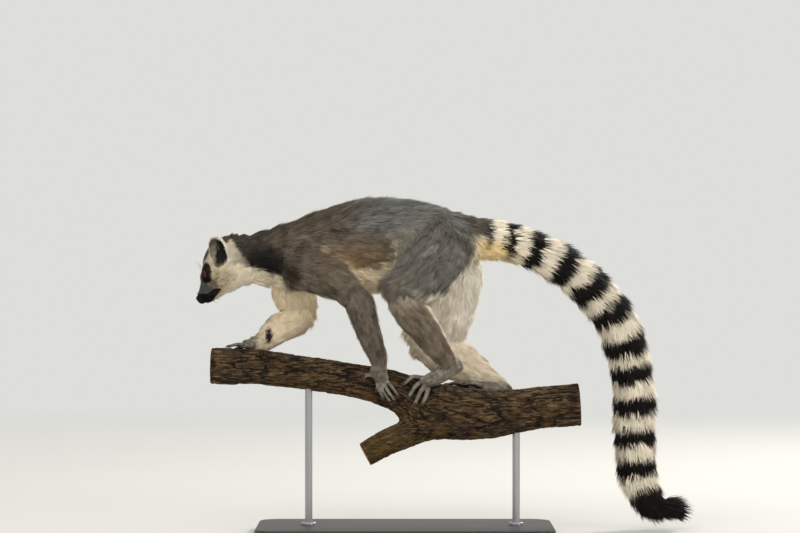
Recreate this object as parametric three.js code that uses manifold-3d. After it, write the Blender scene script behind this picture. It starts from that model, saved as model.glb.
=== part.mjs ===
// A ring-tailed lemur walking along a cut length of branch, life size, on a plain display stand.
// Millimetres, +Z up. The animal faces -X, its left side is -Y. The origin is the middle of the base's underside.
// Every solid reaches out to the tips of the coat. Body parts are lofts over short chains of sections, and each
// one is cut by its grown neighbours, so that they meet with a thin gap.
import * as THREE from "three";
import { mergeVertices } from "three/addons/utils/BufferGeometryUtils.js";
import Module from "manifold-3d";

const wasm = await Module();
wasm.setup();

// ---------------------------------------------------------------- driving sizes
const GAP = 0.35; // between neighbouring solids
const LEFT = -1;
const RIGHT = 1;
const ACROSS = [0, 1, 0]; // the sideways direction of sections on the trunk, head, tail and limbs

const BASE = { length: 400, width: 200, thick: 12, corner: 30, bevel: 2 };
const ROD = { radius: 5, spots: { front: -130, back: 150 }, sink: 8 };

// Sections are [x, y, z, half width across, half depth in the body's own plane].
const TRUNK = [
  [-165, 0, 373, 36, 44], // breast
  [-128, 0, 377, 44, 53], // shoulders
  [-88, 0, 383, 50, 61], // ribs
  [-47, 0, 389, 54, 64], // belly
  [-7, 0, 395, 54, 58], // loins
  [34, 0, 400, 49, 47], // hips
  [62, 0, 402, 40, 37], // rump
  [80, 0, 403, 29, 28],
];
const TRUNK_CUTS = { chest: [0, 0.34], abdomen: [0.34, 0.62], rump: [0.62, 1] };

const NECK = [
  [-146, 0, 376, 30, 36],
  [-176, 0, 375, 34, 41],
  [-203, 0, 371, 33, 38.5],
  [-224, 0, 364, 30, 33],
];

// The head is laid out from the tip of the nose: back along its axis and up from it.
const HEAD = { nose: [-282.8, 0, 315.9], pitch: 50 };
// [back from the nose, middle above the axis, half width, half depth]
const SKULL = [
  [5, -5, 8.5, 8.8],
  [15, -6.5, 11.5, 13.3],
  [25, -6.5, 15, 17.8],
  [34, -5.5, 20, 23.5],
  [44, -5, 27, 28.7],
  [56, -4, 32, 33],
  [70, -3, 34.5, 35],
  [84, -6, 32.5, 31.5],
  [93, -9, 26, 27],
];
const EYE = { back: 39.3, up: 8.6, aside: 16.5, radius: 7.8 };
const NOSE = { back: 4.5, up: -0.6, radius: 5 };
const EAR = { root: [61, 4, 24], tip: [81, 27, 42], facing: [0.58, 0.05, 0.8], width: 14.5, thick: 6, hollow: 3.4 };
// [share of the way from root to tip, share of the width, share of the thickness]
const EAR_LEAF = [
  [0, 0.6, 1.1],
  [0.3, 0.95, 1.1],
  [0.6, 1, 1],
  [0.85, 0.84, 0.75],
  [1, 0.56, 0.5],
];

const TAIL = [
  [62, 0, 402, 29, 29],
  [96, 3, 399, 28, 28],
  [148, 10, 391, 26, 26.5],
  [202, 20, 369, 26.5, 27],
  [249, 31, 335, 27.5, 28],
  [285, 42, 290, 28, 28.5],
  [305, 52, 237, 28, 28.5],
  [313, 58, 180, 28.5, 29],
  [315, 60, 122, 28, 28.5],
  [320, 60, 74, 25, 26],
  [337, 58, 40, 21, 21],
  [364, 56, 31, 12, 12],
];
const TAIL_LENGTHS = 6;

// Limbs: the left side of the body first.
const ARM_LEFT = {
  upper: [
    [-146, -27, 362, 20, 30],
    [-122, -38, 352, 20, 28],
    [-98, -46, 343, 18, 26],
    [-77, -50, 331, 16, 21],
  ],
  fore: [
    [-76, -50, 329, 15, 19],
    [-62, -50, 311, 16.5, 20],
    [-48, -46, 271, 15, 16.8],
    [-37, -38, 241, 11.5, 13],
    [-34, -33, 222, 9.5, 10],
  ],
};
const ARM_RIGHT = {
  upper: [
    [-150, 25, 362, 20, 26],
    [-152, 36, 335, 20, 30],
    [-147, 44, 313, 18, 27.5],
    [-143, 47, 298, 15.5, 23],
  ],
  fore: [
    [-139, 47, 298, 15, 20],
    [-151, 42, 289, 16, 23],
    [-170, 32, 277, 15.5, 20.5],
    [-188.5, 21, 262, 12.5, 15.5],
    [-202, 13, 253, 10, 11.5],
  ],
};
const LEG_LEFT = {
  upper: [
    [56, -26, 400, 26, 44],
    [36, -41, 373, 29, 49],
    [13, -52, 347, 26, 39],
    [-12, -59, 334, 19, 22],
  ],
  lower: [
    [-12, -59, 333, 16, 18],
    [7, -57, 302, 18, 24],
    [25.5, -52, 277, 17, 21.5],
    [40, -44, 257, 14, 18],
    [53, -35, 239, 12, 14.5],
    [61, -29, 227, 10.5, 12.5],
  ],
};
const LEG_RIGHT = {
  upper: [
    [58, 28, 400, 26, 34],
    [66, 42, 356, 27, 38],
    [61, 51, 314, 25, 38],
    [44, 55, 281, 22, 41],
    [23, 57, 263, 19, 28],
  ],
  lower: [
    [21, 57, 259, 16, 24],
    [48, 56, 248, 17, 32],
    [84, 53, 224, 17, 26],
    [112, 47, 206, 14, 18.5],
    [130, 43, 195, 11, 13.5],
  ],
};

// The branch: [x, y, z, half width, half height], and the stub of its lower fork.
const BRANCH = [
  [-262, 0, 227, 24.5, 24.5],
  [-226, 0, 226, 24, 24],
  [-190, 0, 225, 23.5, 23.5],
  [-142, 0, 218, 22, 22],
  [-88, 0, 210, 22.5, 22.5],
  [-47, 0, 202, 24, 24],
  [-7, 0, 191, 28, 27],
  [34, 0, 170, 34, 35],
  [88, 0, 162, 34, 35],
  [142, 0, 165, 30, 30],
  [189, 0, 171, 28, 28],
  [236, 0, 174, 28, 28],
];
const FORK = [
  [52, -2, 158, 26, 26],
  [14, -5, 140, 21, 20],
  [-22, -8, 125, 18, 17.5],
  [-54, -11, 108, 16.5, 16],
];

// Hands and feet lie on the branch. A place on it is [x, degrees from its top towards the left side, height
// above the bark], and a palm or sole also has its half width and half thickness.
const HAND_LEFT = {
  palm: [
    [-36, 52, 18, 9, 8.5],
    [-35, 60, 12.5, 9.5, 7.5],
    [-32, 67, 8, 10.5, 6.2],
    [-30, 73, 6, 10, 4.8],
  ],
  wide: [1, 0, 0.1],
  digits: [
    { way: [[-40, 60, 6.5], [-49, 62, 5], [-55, 70, 3.6]], radius: 3.3 },
    { way: [[-37, 70, 5.5], [-35, 94, 4.5], [-29, 120, 3.2]], radius: 3.1 },
    { way: [[-33, 74, 5.5], [-30, 99, 4.5], [-20, 122, 3.2]], radius: 3.2 },
    { way: [[-29, 73, 5.5], [-24, 96, 4.5], [-15, 113, 3.2]], radius: 3.1 },
    { way: [[-26, 68, 5.5], [-19, 85, 4.2], [-11, 99, 3]], radius: 2.9 },
  ],
};
const HAND_RIGHT = {
  palm: [
    [-202, -26, 12, 9, 8.5],
    [-207, -22, 9, 11, 7.5],
    [-213, -19, 7.5, 12.5, 6.5],
    [-217, -17, 6, 11, 5],
  ],
  wide: [0, 1, 0.2],
  digits: [
    { way: [[-206, -6, 6], [-212, 2, 5], [-218, 9, 3.6]], radius: 3.5 },
    { way: [[-217, -6, 6], [-226, -2, 6], [-235, 1, 3.3]], radius: 3.2 },
    { way: [[-218, -15, 6], [-229, -15, 6], [-239, -16, 3.3]], radius: 3.3 },
    { way: [[-216, -25, 6], [-226, -33, 5.2], [-235, -42, 3.3]], radius: 3.2 },
    { way: [[-212, -35, 6], [-219, -49, 4.6], [-225, -62, 3]], radius: 2.9 },
  ],
};
const FOOT_LEFT = {
  palm: [
    [70, 23, 36, 9, 10],
    [57, 26, 27, 10.5, 11.5],
    [42, 30, 16, 12, 10.5],
    [30, 35, 9, 13, 8],
    [24, 38, 7, 12, 6],
  ],
  wide: [0, 1, -0.6],
  digits: [
    { way: [[42, 20, 9], [33, -16, 7.5], [27, -50, 5]], radius: 4.7 },
    { way: [[24, 24, 7], [11, 34, 7.5], [-2, 62, 3.8]], radius: 3.7 },
    { way: [[24, 34, 7], [14, 56, 6.5], [5, 87, 3.9]], radius: 3.8 },
    { way: [[27, 43, 7], [20, 66, 6.2], [13, 95, 3.9]], radius: 3.8 },
    { way: [[31, 50, 7], [28, 68, 5.8], [23, 87, 3.6]], radius: 3.5 },
  ],
};
const FOOT_RIGHT = {
  palm: [
    [139, -56, 15, 9.5, 10.5],
    [124, -50, 13, 11, 11],
    [106, -44, 10.5, 12.5, 9],
    [92, -40, 8.5, 13, 7.5],
    [84, -38, 7, 12, 6],
  ],
  wide: [0, 1, 0.8],
  digits: [
    { way: [[102, -28, 8], [92, -16, 7.2], [82, -8, 5]], radius: 4.7 },
    { way: [[84, -28, 7], [69, -25, 7.5], [55, -27, 3.8]], radius: 3.7 },
    { way: [[82, -37, 7], [66, -40, 7.5], [50, -44, 3.9]], radius: 3.8 },
    { way: [[83, -46, 7], [68, -56, 7], [54, -66, 3.9]], radius: 3.8 },
    { way: [[87, -55, 7], [76, -70, 6], [66, -86, 3.6]], radius: 3.5 },
  ],
};

// ---------------------------------------------------------------- lofts and solids
// The curve through a chain's sections: its middle line, and its half width and depth at the same parameter.
function curveOf(chain) {
  const line = new THREE.CatmullRomCurve3(chain.map(([x, y, z]) => new THREE.Vector3(x, y, z)), false, "catmullrom");
  const size = new THREE.CatmullRomCurve3(chain.map(([, , , w, h]) => new THREE.Vector3(w, h, 0)), false, "catmullrom");
  return { line, size };
}

// A closed tube over a chain. Its ends are domes of the given length, or flat where that is 0.
function loft(chain, options = {}) {
  const { across = ACROSS, sides = 14, perSpan = 2, grow = 0, span = [0, 1] } = options;
  const { domes = [0.9, 0.9], domeSteps = [0.45, 0.82] } = options;
  const { line, size } = curveOf(chain);
  const steps = Math.max(2, Math.round((chain.length - 1) * perSpan * (span[1] - span[0])));
  const rings = [];
  const ring = (t, along, scale) => {
    const tangent = line.getTangent(t);
    const side = new THREE.Vector3(...across).addScaledVector(tangent, -tangent.dot(new THREE.Vector3(...across)));
    side.normalize();
    const up = tangent.clone().cross(side);
    const middle = line.getPoint(t).addScaledVector(tangent, along);
    const { x: w, y: h } = size.getPoint(t);
    return Array.from({ length: sides }, (_, j) => {
      const angle = (2 * Math.PI * j) / sides;
      return middle
        .clone()
        .addScaledVector(side, scale * (w + grow) * Math.cos(angle))
        .addScaledVector(up, scale * (h + grow) * Math.sin(angle));
    });
  };
  const reach = (t, dome) => dome * Math.min(size.getPoint(t).x, size.getPoint(t).y) + grow;
  const [start, end] = span;
  if (domes[0]) {
    for (const share of [...domeSteps].reverse()) {
      rings.push(ring(start, -share * reach(start, domes[0]), Math.sqrt(1 - share * share)));
    }
  }
  for (let i = 0; i <= steps; i++) rings.push(ring(start + ((end - start) * i) / steps, 0, 1));
  if (domes[1]) {
    for (const share of domeSteps) rings.push(ring(end, share * reach(end, domes[1]), Math.sqrt(1 - share * share)));
  }
  const pole = (t, along) => line.getPoint(t).addScaledVector(line.getTangent(t), along);
  const first = pole(start, domes[0] ? -reach(start, domes[0]) : 0);
  const last = pole(end, domes[1] ? reach(end, domes[1]) : 0);
  const points = [...rings.flat(), first, last];
  const at = (i, j) => i * sides + (j % sides);
  const faces = [];
  for (let i = 0; i + 1 < rings.length; i++) {
    for (let j = 0; j < sides; j++) {
      faces.push(at(i, j), at(i, j + 1), at(i + 1, j), at(i, j + 1), at(i + 1, j + 1), at(i + 1, j));
    }
  }
  for (let j = 0; j < sides; j++) {
    faces.push(points.length - 2, at(0, j + 1), at(0, j));
    faces.push(points.length - 1, at(rings.length - 1, j), at(rings.length - 1, j + 1));
  }
  const geometry = new THREE.BufferGeometry().setFromPoints(points);
  geometry.setIndex(faces);
  return solid(geometry);
}

// A closed geometry as a solid that can be joined and cut.
function solid(geometry) {
  geometry.deleteAttribute("normal");
  geometry.deleteAttribute("uv");
  const merged = mergeVertices(geometry, 1e-4);
  return new wasm.Manifold(
    new wasm.Mesh({
      numProp: 3,
      vertProperties: new Float32Array(merged.attributes.position.array),
      triVerts: new Uint32Array(merged.index.array),
    }),
  );
}

const joined = (solids) => solids.reduce((all, one) => all.add(one));
const without = (whole, ...cutters) => cutters.reduce((left, cutter) => left.subtract(cutter), whole);

// The largest body of a solid, without the slivers that a cut leaves behind.
function largest(whole) {
  return whole.decompose().sort((a, b) => b.volume() - a.volume())[0];
}

// ---------------------------------------------------------------- materials
const paint = (colour, roughness, metalness = 0) => new THREE.MeshStandardMaterial({ color: colour, roughness, metalness });
const FINISH = {
  greyCoat: paint("#6b655e", 0.9),
  paleCoat: paint("#d8cdb8", 0.9),
  faceCoat: paint("#cfc6ae", 0.9),
  ringCoat: paint("#8a8378", 0.9),
  handSkin: paint("#8f8c80", 0.85),
  noseSkin: paint("#17161a", 0.45),
  eye: paint("#c2521a", 0.1),
  bark: paint("#4a3a2c", 0.95),
  base: paint("#2c2a28", 0.5),
  rod: paint("#8d8f92", 0.35, 0.9),
};

const lemur = new THREE.Group();
function place(name, whole, material) {
  const { numProp, vertProperties, triVerts } = largest(whole).getMesh();
  const points = [];
  for (let i = 0; i < vertProperties.length; i += numProp) {
    points.push(vertProperties[i], vertProperties[i + 1], vertProperties[i + 2]);
  }
  const geometry = new THREE.BufferGeometry();
  geometry.setAttribute("position", new THREE.Float32BufferAttribute(points, 3));
  geometry.setIndex(new THREE.BufferAttribute(new Uint32Array(triVerts), 1));
  const mesh = new THREE.Mesh(geometry, material);
  mesh.name = name;
  lemur.add(mesh);
}

// ---------------------------------------------------------------- head
const pitch = THREE.MathUtils.degToRad(HEAD.pitch);
const headForward = new THREE.Vector3(-Math.cos(pitch), 0, -Math.sin(pitch));
const headUp = new THREE.Vector3(-Math.sin(pitch), 0, Math.cos(pitch));

// A point of the head, from its distance behind the nose, above the head's axis and out to one side.
function headPoint(back, up, aside = 0) {
  return new THREE.Vector3(...HEAD.nose)
    .addScaledVector(headForward, -back)
    .addScaledVector(headUp, up)
    .add(new THREE.Vector3(0, aside, 0));
}

function skull(grow = 0) {
  const chain = SKULL.map(([back, up, w, h]) => [...headPoint(back, up).toArray(), w, h]);
  return loft(chain, { sides: 16, perSpan: 1, grow, domes: [0.75, 0.55] });
}

function ball(middle, radius) {
  return solid(new THREE.SphereGeometry(radius, 10, 8).translate(middle.x, middle.y, middle.z));
}

const eye = (side, grow = 0) => ball(headPoint(EYE.back, EYE.up, side * EYE.aside), EYE.radius + grow);
const noseTip = (grow = 0) => ball(headPoint(NOSE.back, NOSE.up), NOSE.radius + grow);

// An ear is a leaf-shaped shell: a flat loft from root to tip, hollowed by a smaller one on the side that it faces.
function ear(side) {
  const [root, tip] = [EAR.root, EAR.tip].map(([back, up, aside]) => headPoint(back, up, side * aside));
  const [ahead, above, outward] = EAR.facing;
  const facing = new THREE.Vector3(0, side * outward, 0).addScaledVector(headForward, ahead);
  facing.addScaledVector(headUp, above).normalize();
  const across = tip.clone().sub(root).cross(facing).toArray();
  const leaf = (width, thick, shift) =>
    EAR_LEAF.map(([t, wide, deep]) => {
      const middle = root.clone().lerp(tip, t).addScaledVector(facing, shift);
      return [...middle.toArray(), width * wide, thick * deep];
    });
  const shell = loft(leaf(EAR.width, EAR.thick, 0), { across, sides: 8, perSpan: 1, domes: [0.4, 0.9] });
  const hollowed = leaf(EAR.width * 0.84, EAR.thick * 0.95, EAR.hollow);
  const bowl = loft(hollowed, { across, sides: 6, perSpan: 1, domeSteps: [0.7] });
  return shell.subtract(bowl);
}

// ---------------------------------------------------------------- build: trunk, neck and head
const trunk = (grow = 0) => loft(TRUNK, { sides: 16, perSpan: 2, grow, domes: [0.8, 0.5] });
const trunkSpan = ([from, to]) => {
  const gap = GAP / 2 / curveOf(TRUNK).line.getLength();
  const domes = [from === 0 ? 0.8 : 0, to === 1 ? 0.5 : 0];
  return loft(TRUNK, { sides: 16, perSpan: 2, span: [from + (from && gap), to - (to < 1 && gap)], domes });
};
const neck = (grow = 0) => loft(NECK, { sides: 14, perSpan: 1, grow, domes: [0.4, 0.4], domeSteps: [0.7] });
for (const [name, span] of Object.entries(TRUNK_CUTS)) {
  place(name, trunkSpan(span), FINISH.greyCoat);
}
place("neck", without(neck(), trunk(GAP), skull(GAP)), FINISH.greyCoat);
place("head", without(skull(), eye(LEFT, GAP), eye(RIGHT, GAP), noseTip(GAP)), FINISH.faceCoat);
place("nose", noseTip(), FINISH.noseSkin);
for (const [name, side] of [["left", LEFT], ["right", RIGHT]]) {
  place(`eye_${name}`, eye(side), FINISH.eye);
  place(`ear_${name}`, without(ear(side), skull(GAP), neck(GAP)), FINISH.paleCoat);
}

// ---------------------------------------------------------------- build: tail
const tailGap = GAP / 2 / curveOf(TAIL).line.getLength();
for (let i = 0; i < TAIL_LENGTHS; i++) {
  const span = [i / TAIL_LENGTHS + (i && tailGap), (i + 1) / TAIL_LENGTHS - (i + 1 < TAIL_LENGTHS && tailGap)];
  const domes = [0, i + 1 === TAIL_LENGTHS ? 0.9 : 0];
  const length = loft(TAIL, { sides: 14, perSpan: 2, span, domes });
  place(`tail_${i + 1}`, i ? length : without(length, trunk(GAP)), FINISH.ringCoat);
}

// ---------------------------------------------------------------- build: limbs
const limb = (chain, grow = 0) => loft(chain, { sides: 12, perSpan: 1, grow, domes: [0.7, 0.7], domeSteps: [0.7] });
const branch = (grow = 0) => loft(BRANCH, { sides: 16, perSpan: 1, grow, domes: [0, 0] });
const fork = (grow = 0) => loft(FORK, { sides: 12, perSpan: 1, grow, domes: [0, 0] });
for (const [name, { upper, fore }] of [["left", ARM_LEFT], ["right", ARM_RIGHT]]) {
  place(`upper_arm_${name}`, without(limb(upper), trunk(GAP), neck(GAP)), FINISH.greyCoat);
  place(`forearm_${name}`, without(limb(fore), limb(upper, GAP), branch(GAP)), FINISH.greyCoat);
}
for (const [name, { upper, lower }] of [["left", LEG_LEFT], ["right", LEG_RIGHT]]) {
  place(`thigh_${name}`, without(limb(upper), trunk(GAP), loft(TAIL, { sides: 14, grow: GAP })), FINISH.greyCoat);
  place(`shank_${name}`, without(limb(lower), limb(upper, GAP), branch(GAP)), FINISH.greyCoat);
}

// ---------------------------------------------------------------- build: hands and feet
const branchCurve = curveOf(BRANCH);

// The parameter at which the branch's middle line passes x, by halving.
function branchAt(x) {
  let [low, high] = [0, 1];
  for (let i = 0; i < 24; i++) {
    const t = (low + high) / 2;
    if (branchCurve.line.getPoint(t).x < x) low = t;
    else high = t;
  }
  return low;
}

function onBranch([x, degrees, height]) {
  const t = branchAt(x);
  const middle = branchCurve.line.getPoint(t);
  const { x: wide, y: high } = branchCurve.size.getPoint(t);
  const angle = THREE.MathUtils.degToRad(degrees);
  return [x, middle.y - (wide + height) * Math.sin(angle), middle.z + (high + height) * Math.cos(angle)];
}

// A finger or toe: thinner towards its last joint, with a rounded pad at the tip.
function digit({ way, radius }, grow) {
  const [root, bend, tip] = way.map((place) => new THREE.Vector3(...onBranch(place)));
  const below = new THREE.Vector3(bend.x, 0, branchCurve.line.getPoint(branchAt(bend.x)).z);
  const across = tip.clone().sub(root).cross(bend.clone().sub(below)).toArray();
  const chain = [
    [root, 1.12],
    [bend, 0.95],
    [bend.clone().lerp(tip, 0.6), 0.82],
    [tip, 0.9],
  ].map(([point, share]) => [...point.toArray(), radius * share, radius * share * 0.92]);
  return loft(chain, { across, sides: 6, perSpan: 1, grow, domes: [0, 0.9], domeSteps: [0.7] });
}

function extremity({ palm, wide, digits }, grow = 0) {
  const chain = palm.map(([x, degrees, height, w, h]) => [...onBranch([x, degrees, height]), w, h]);
  const sole = loft(chain, { across: wide, sides: 8, perSpan: 1, grow, domes: [0.8, 0.5], domeSteps: [0.7] });
  return joined([sole, ...digits.map((one) => digit(one, grow))]);
}

for (const [name, part, carrier] of [
  ["hand_left", HAND_LEFT, ARM_LEFT.fore],
  ["hand_right", HAND_RIGHT, ARM_RIGHT.fore],
  ["foot_left", FOOT_LEFT, LEG_LEFT.lower],
  ["foot_right", FOOT_RIGHT, LEG_RIGHT.lower],
]) {
  place(name, without(extremity(part), limb(carrier, GAP), branch(GAP)), FINISH.handSkin);
}

// ---------------------------------------------------------------- build: perch and stand
function rod(x, grow = 0) {
  const top = onBranch([x, 180, 0])[2] + ROD.sink;
  const low = BASE.thick - ROD.sink;
  const bar = new THREE.CylinderGeometry(ROD.radius + grow, ROD.radius + grow, top - low + 2 * grow, 16);
  return solid(bar.rotateX(Math.PI / 2).translate(x, 0, (top + low) / 2));
}

function basePlate() {
  const [x, y, r] = [BASE.length / 2 - BASE.bevel, BASE.width / 2 - BASE.bevel, BASE.corner];
  const outline = new THREE.Shape();
  outline.moveTo(-x + r, -y).lineTo(x - r, -y).absarc(x - r, -y + r, r, -Math.PI / 2, 0);
  outline.lineTo(x, y - r).absarc(x - r, y - r, r, 0, Math.PI / 2);
  outline.lineTo(-x + r, y).absarc(-x + r, y - r, r, Math.PI / 2, Math.PI);
  outline.lineTo(-x, -y + r).absarc(-x + r, -y + r, r, Math.PI, 1.5 * Math.PI);
  const plate = new THREE.ExtrudeGeometry(outline, {
    depth: BASE.thick - 2 * BASE.bevel,
    bevelThickness: BASE.bevel,
    bevelSize: BASE.bevel,
    bevelSegments: 1,
    curveSegments: 4,
  });
  return solid(plate.translate(0, 0, BASE.bevel));
}

const rodHoles = Object.values(ROD.spots).map((x) => rod(x, GAP));
place("perch_branch", without(branch(), ...rodHoles), FINISH.bark);
place("perch_fork", without(fork(), branch(GAP)), FINISH.bark);
place("stand_base", without(basePlate(), ...rodHoles), FINISH.base);
for (const [name, x] of Object.entries(ROD.spots)) {
  place(`stand_rod_${name}`, rod(x), FINISH.rod);
}

export default lemur;
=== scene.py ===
"""A ring-tailed lemur walking along a cut length of branch, life size, on a plain display stand.

The forms are worked out in millimetres, from nearly the same chains of sections as the solids, and every mesh
is written in metres. One skin lies inside the solids of flesh by the depth of the coat. The coat is many
thousand small closed locks of hair, which grow from that skin and follow its lie. The animal faces -X, and
its left side is -Y.
"""

import itertools
import math

import bpy
import numpy as np
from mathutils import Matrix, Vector


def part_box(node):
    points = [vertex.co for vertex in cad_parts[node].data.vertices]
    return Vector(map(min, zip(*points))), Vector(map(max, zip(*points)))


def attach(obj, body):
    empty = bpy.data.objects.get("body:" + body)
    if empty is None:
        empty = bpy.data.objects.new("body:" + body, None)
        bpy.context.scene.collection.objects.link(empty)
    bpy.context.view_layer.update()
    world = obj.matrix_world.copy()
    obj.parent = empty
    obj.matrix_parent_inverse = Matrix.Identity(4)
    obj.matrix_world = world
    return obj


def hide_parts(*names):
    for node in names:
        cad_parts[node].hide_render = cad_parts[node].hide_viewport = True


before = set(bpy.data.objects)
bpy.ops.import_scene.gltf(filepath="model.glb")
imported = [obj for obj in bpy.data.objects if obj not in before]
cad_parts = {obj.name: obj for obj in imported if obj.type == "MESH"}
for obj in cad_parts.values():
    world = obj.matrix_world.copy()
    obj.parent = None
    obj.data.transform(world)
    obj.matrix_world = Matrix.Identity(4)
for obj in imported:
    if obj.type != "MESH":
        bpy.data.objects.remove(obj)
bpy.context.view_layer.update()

# ---- driving sizes
MM = 0.001
LEFT, RIGHT = -1, 1
SEED = 7
GRAINS = {"skin": 1.0, "bark": 1.25, "nose": 0.4}  # width of a cell of the lattice that each is drawn from
SKIN_TRIANGLES = 170000
TUFTS = 248000  # locks of hair in the whole coat
TUFTS_IN_PIECE = 33000

# Sections are [x, y, z, half width across, half depth], out to the tips of the coat.
TRUNK = [
    (-165, 0, 373, 36, 44),
    (-128, 0, 377, 44, 53),
    (-88, 0, 383, 50, 61),
    (-47, 0, 389, 54, 64),
    (-7, 0, 395, 54, 58),
    (34, 0, 400, 49, 47),
    (62, 0, 402, 40, 37),
    (80, 0, 403, 29, 28),
]
NECK = [
    (-146, 0, 376, 30, 36),
    (-176, 0, 373, 34, 38.5),
    (-203, 0, 370.3, 33, 37.8),
    (-224, 0, 362.5, 30, 31.5),
]
TAIL = [
    (62, 0, 402, 29, 29),
    (96, 3, 399, 28, 28),
    (148, 10, 391, 26, 26.5),
    (202, 20, 369, 26.5, 27),
    (249, 31, 335, 27.5, 28),
    (285, 42, 290, 28, 28.5),
    (305, 52, 237, 28, 28.5),
    (313, 58, 180, 28.5, 29),
    (315, 60, 122, 28, 28.5),
    (320, 60, 74, 25, 26),
    (337, 58, 40, 21, 21),
    (364, 56, 31, 12, 12),
]
TAIL_BASE = [(62, 0, 402, 30, 30), (90, 2, 400, 28.5, 29), (112, 5, 397, 25, 26), (138, 9, 392, 19, 20)]
TAIL_BASE_DEPTH = 5.5  # of the coat round the root of the tail
LIMB_SECTIONS = {
    "upper_arm_left": [
        (-146, -27, 362, 20, 30),
        (-122, -38, 352, 20, 28),
        (-98, -46, 343, 18, 26),
        (-77, -50, 331, 16, 21),
    ],
    "forearm_left": [
        (-76, -50, 329, 15, 19),
        (-62, -50, 311, 16.5, 20),
        (-48, -46, 271, 15, 16.8),
        (-37, -38, 241, 11.5, 13),
        (-34, -33, 222, 9.5, 10),
    ],
    "upper_arm_right": [
        (-150, 25, 362, 20, 26),
        (-152, 36, 335, 20, 30),
        (-147, 44, 313, 18, 27.5),
        (-143, 47, 298, 15.5, 23),
    ],
    "forearm_right": [
        (-139, 47, 298, 15, 20),
        (-151, 42, 289, 16, 23),
        (-170, 32, 277, 15.5, 20.5),
        (-188.5, 21, 262, 12.5, 15.5),
        (-202, 13, 253, 10, 11.5),
    ],
    "thigh_left": [
        (56, -26, 400, 26, 44),
        (36, -41, 373, 29, 49),
        (13, -52, 347, 26, 39),
        (-12, -59, 334, 19, 22),
    ],
    "shank_left": [
        (-12, -59, 333, 16, 18),
        (7, -57, 302, 18, 24),
        (25.5, -52, 277, 17, 21.5),
        (40, -44, 257, 14, 18),
        (53, -35, 239, 12, 14.5),
        (61, -29, 227, 10.5, 12.5),
    ],
    "thigh_right": [
        (58, 28, 400, 26, 34),
        (66, 42, 356, 27, 38),
        (61, 51, 314, 25, 38),
        (44, 55, 281, 22, 41),
        (23, 57, 263, 19, 28),
    ],
    "shank_right": [
        (21, 57, 259, 16, 24),
        (48, 56, 248, 17, 32),
        (84, 53, 224, 17, 26),
        (112, 47, 206, 14, 18.5),
        (130, 43, 195, 11, 13.5),
    ],
}

# The head is laid out from the tip of the nose: [back, middle above the axis, half width, half depth].
NOSE_TIP = np.array([-282.8, 0.0, 315.9])
HEAD_PITCH = math.radians(50)
SKULL = [
    (5, -5, 8.5, 8.8),
    (15, -6.5, 11.5, 13.3),
    (25, -6.5, 15, 17.8),
    (34, -5.5, 20, 23.5),
    (44, -5, 27, 28.7),
    (56, -4, 32, 33),
    (70, -3, 34.5, 35),
    (84, -6, 32.5, 31.5),
    (93, -10, 26, 25.5),
]
# Places in the head are (back from the nose, above the head's axis, out to the side), and so are directions.
EYE = {
    "place": (39.3, 8.6, 16.5),
    "radius": 7.0,
    "lid": 2.0,  # thickness of the lids
    "lid_shift": 0.6,  # how far the lids lie behind the middle of the eye
    "gap": 0.15,  # between the eyeball and its hollow
    "gaze": (-0.88, 0.47, -0.05),  # in the model's frame, for the right eye
    "opening": (0.86, 0.72),  # half the slit's width and height, in radians
}
EAR = {
    "root": (61, 4, 24),
    "tip": (81, 27, 42),
    "facing": (-0.58, 0.05, 0.8),
    "width": 14.5,
    "thick": 6,
    "bowl": (0.84, 0.95),  # the hollow's share of that width and thickness
    "hollow": 3.4,  # how far the hollow is moved out of the leaf
}
EAR_LEAF = [(0, 0.6, 1.1), (0.3, 0.95, 1.1), (0.6, 1, 1), (0.85, 0.9, 0.8), (1, 0.66, 0.55)]
PADS = [((15, -8.5, 5.5), 6.2, 5), ((56, -3, 21), 10.5, 10)]  # of lip and cheek: middle, radius and reach
MOUTH = [(5, -10, 3), (12, -13.5, 8), (22, -16.5, 12), (32, -18, 15.5)]
MOUTH_GROOVE = 1.0

# How far each part is rounded into the next one.
REACH = {
    "neck": 10,
    "head": 9,
    "lid": 4,
    "ear": 3,
    "tail": 10,
    "limb": 20,
    "lower_limb": 9,
    "palm": 6,
    "digit": 1.6,
}

BRANCH = [
    (-262, 0, 227, 24.5, 24.5),
    (-226, 0, 226, 24, 24),
    (-190, 0, 225, 23.5, 23.5),
    (-142, 0, 218, 22, 22),
    (-88, 0, 210, 22.5, 22.5),
    (-47, 0, 202, 24, 24),
    (-7, 0, 191, 28, 27),
    (34, 0, 170, 34, 35),
    (88, 0, 162, 34, 35),
    (142, 0, 165, 30, 30),
    (189, 0, 171, 28, 28),
    (236, 0, 174, 28, 28),
]
FORK = [(52, -2, 158, 26, 26), (14, -5, 140, 21, 20), (-22, -8, 125, 18, 17.5), (-54, -11, 108, 16.5, 16)]

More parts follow.
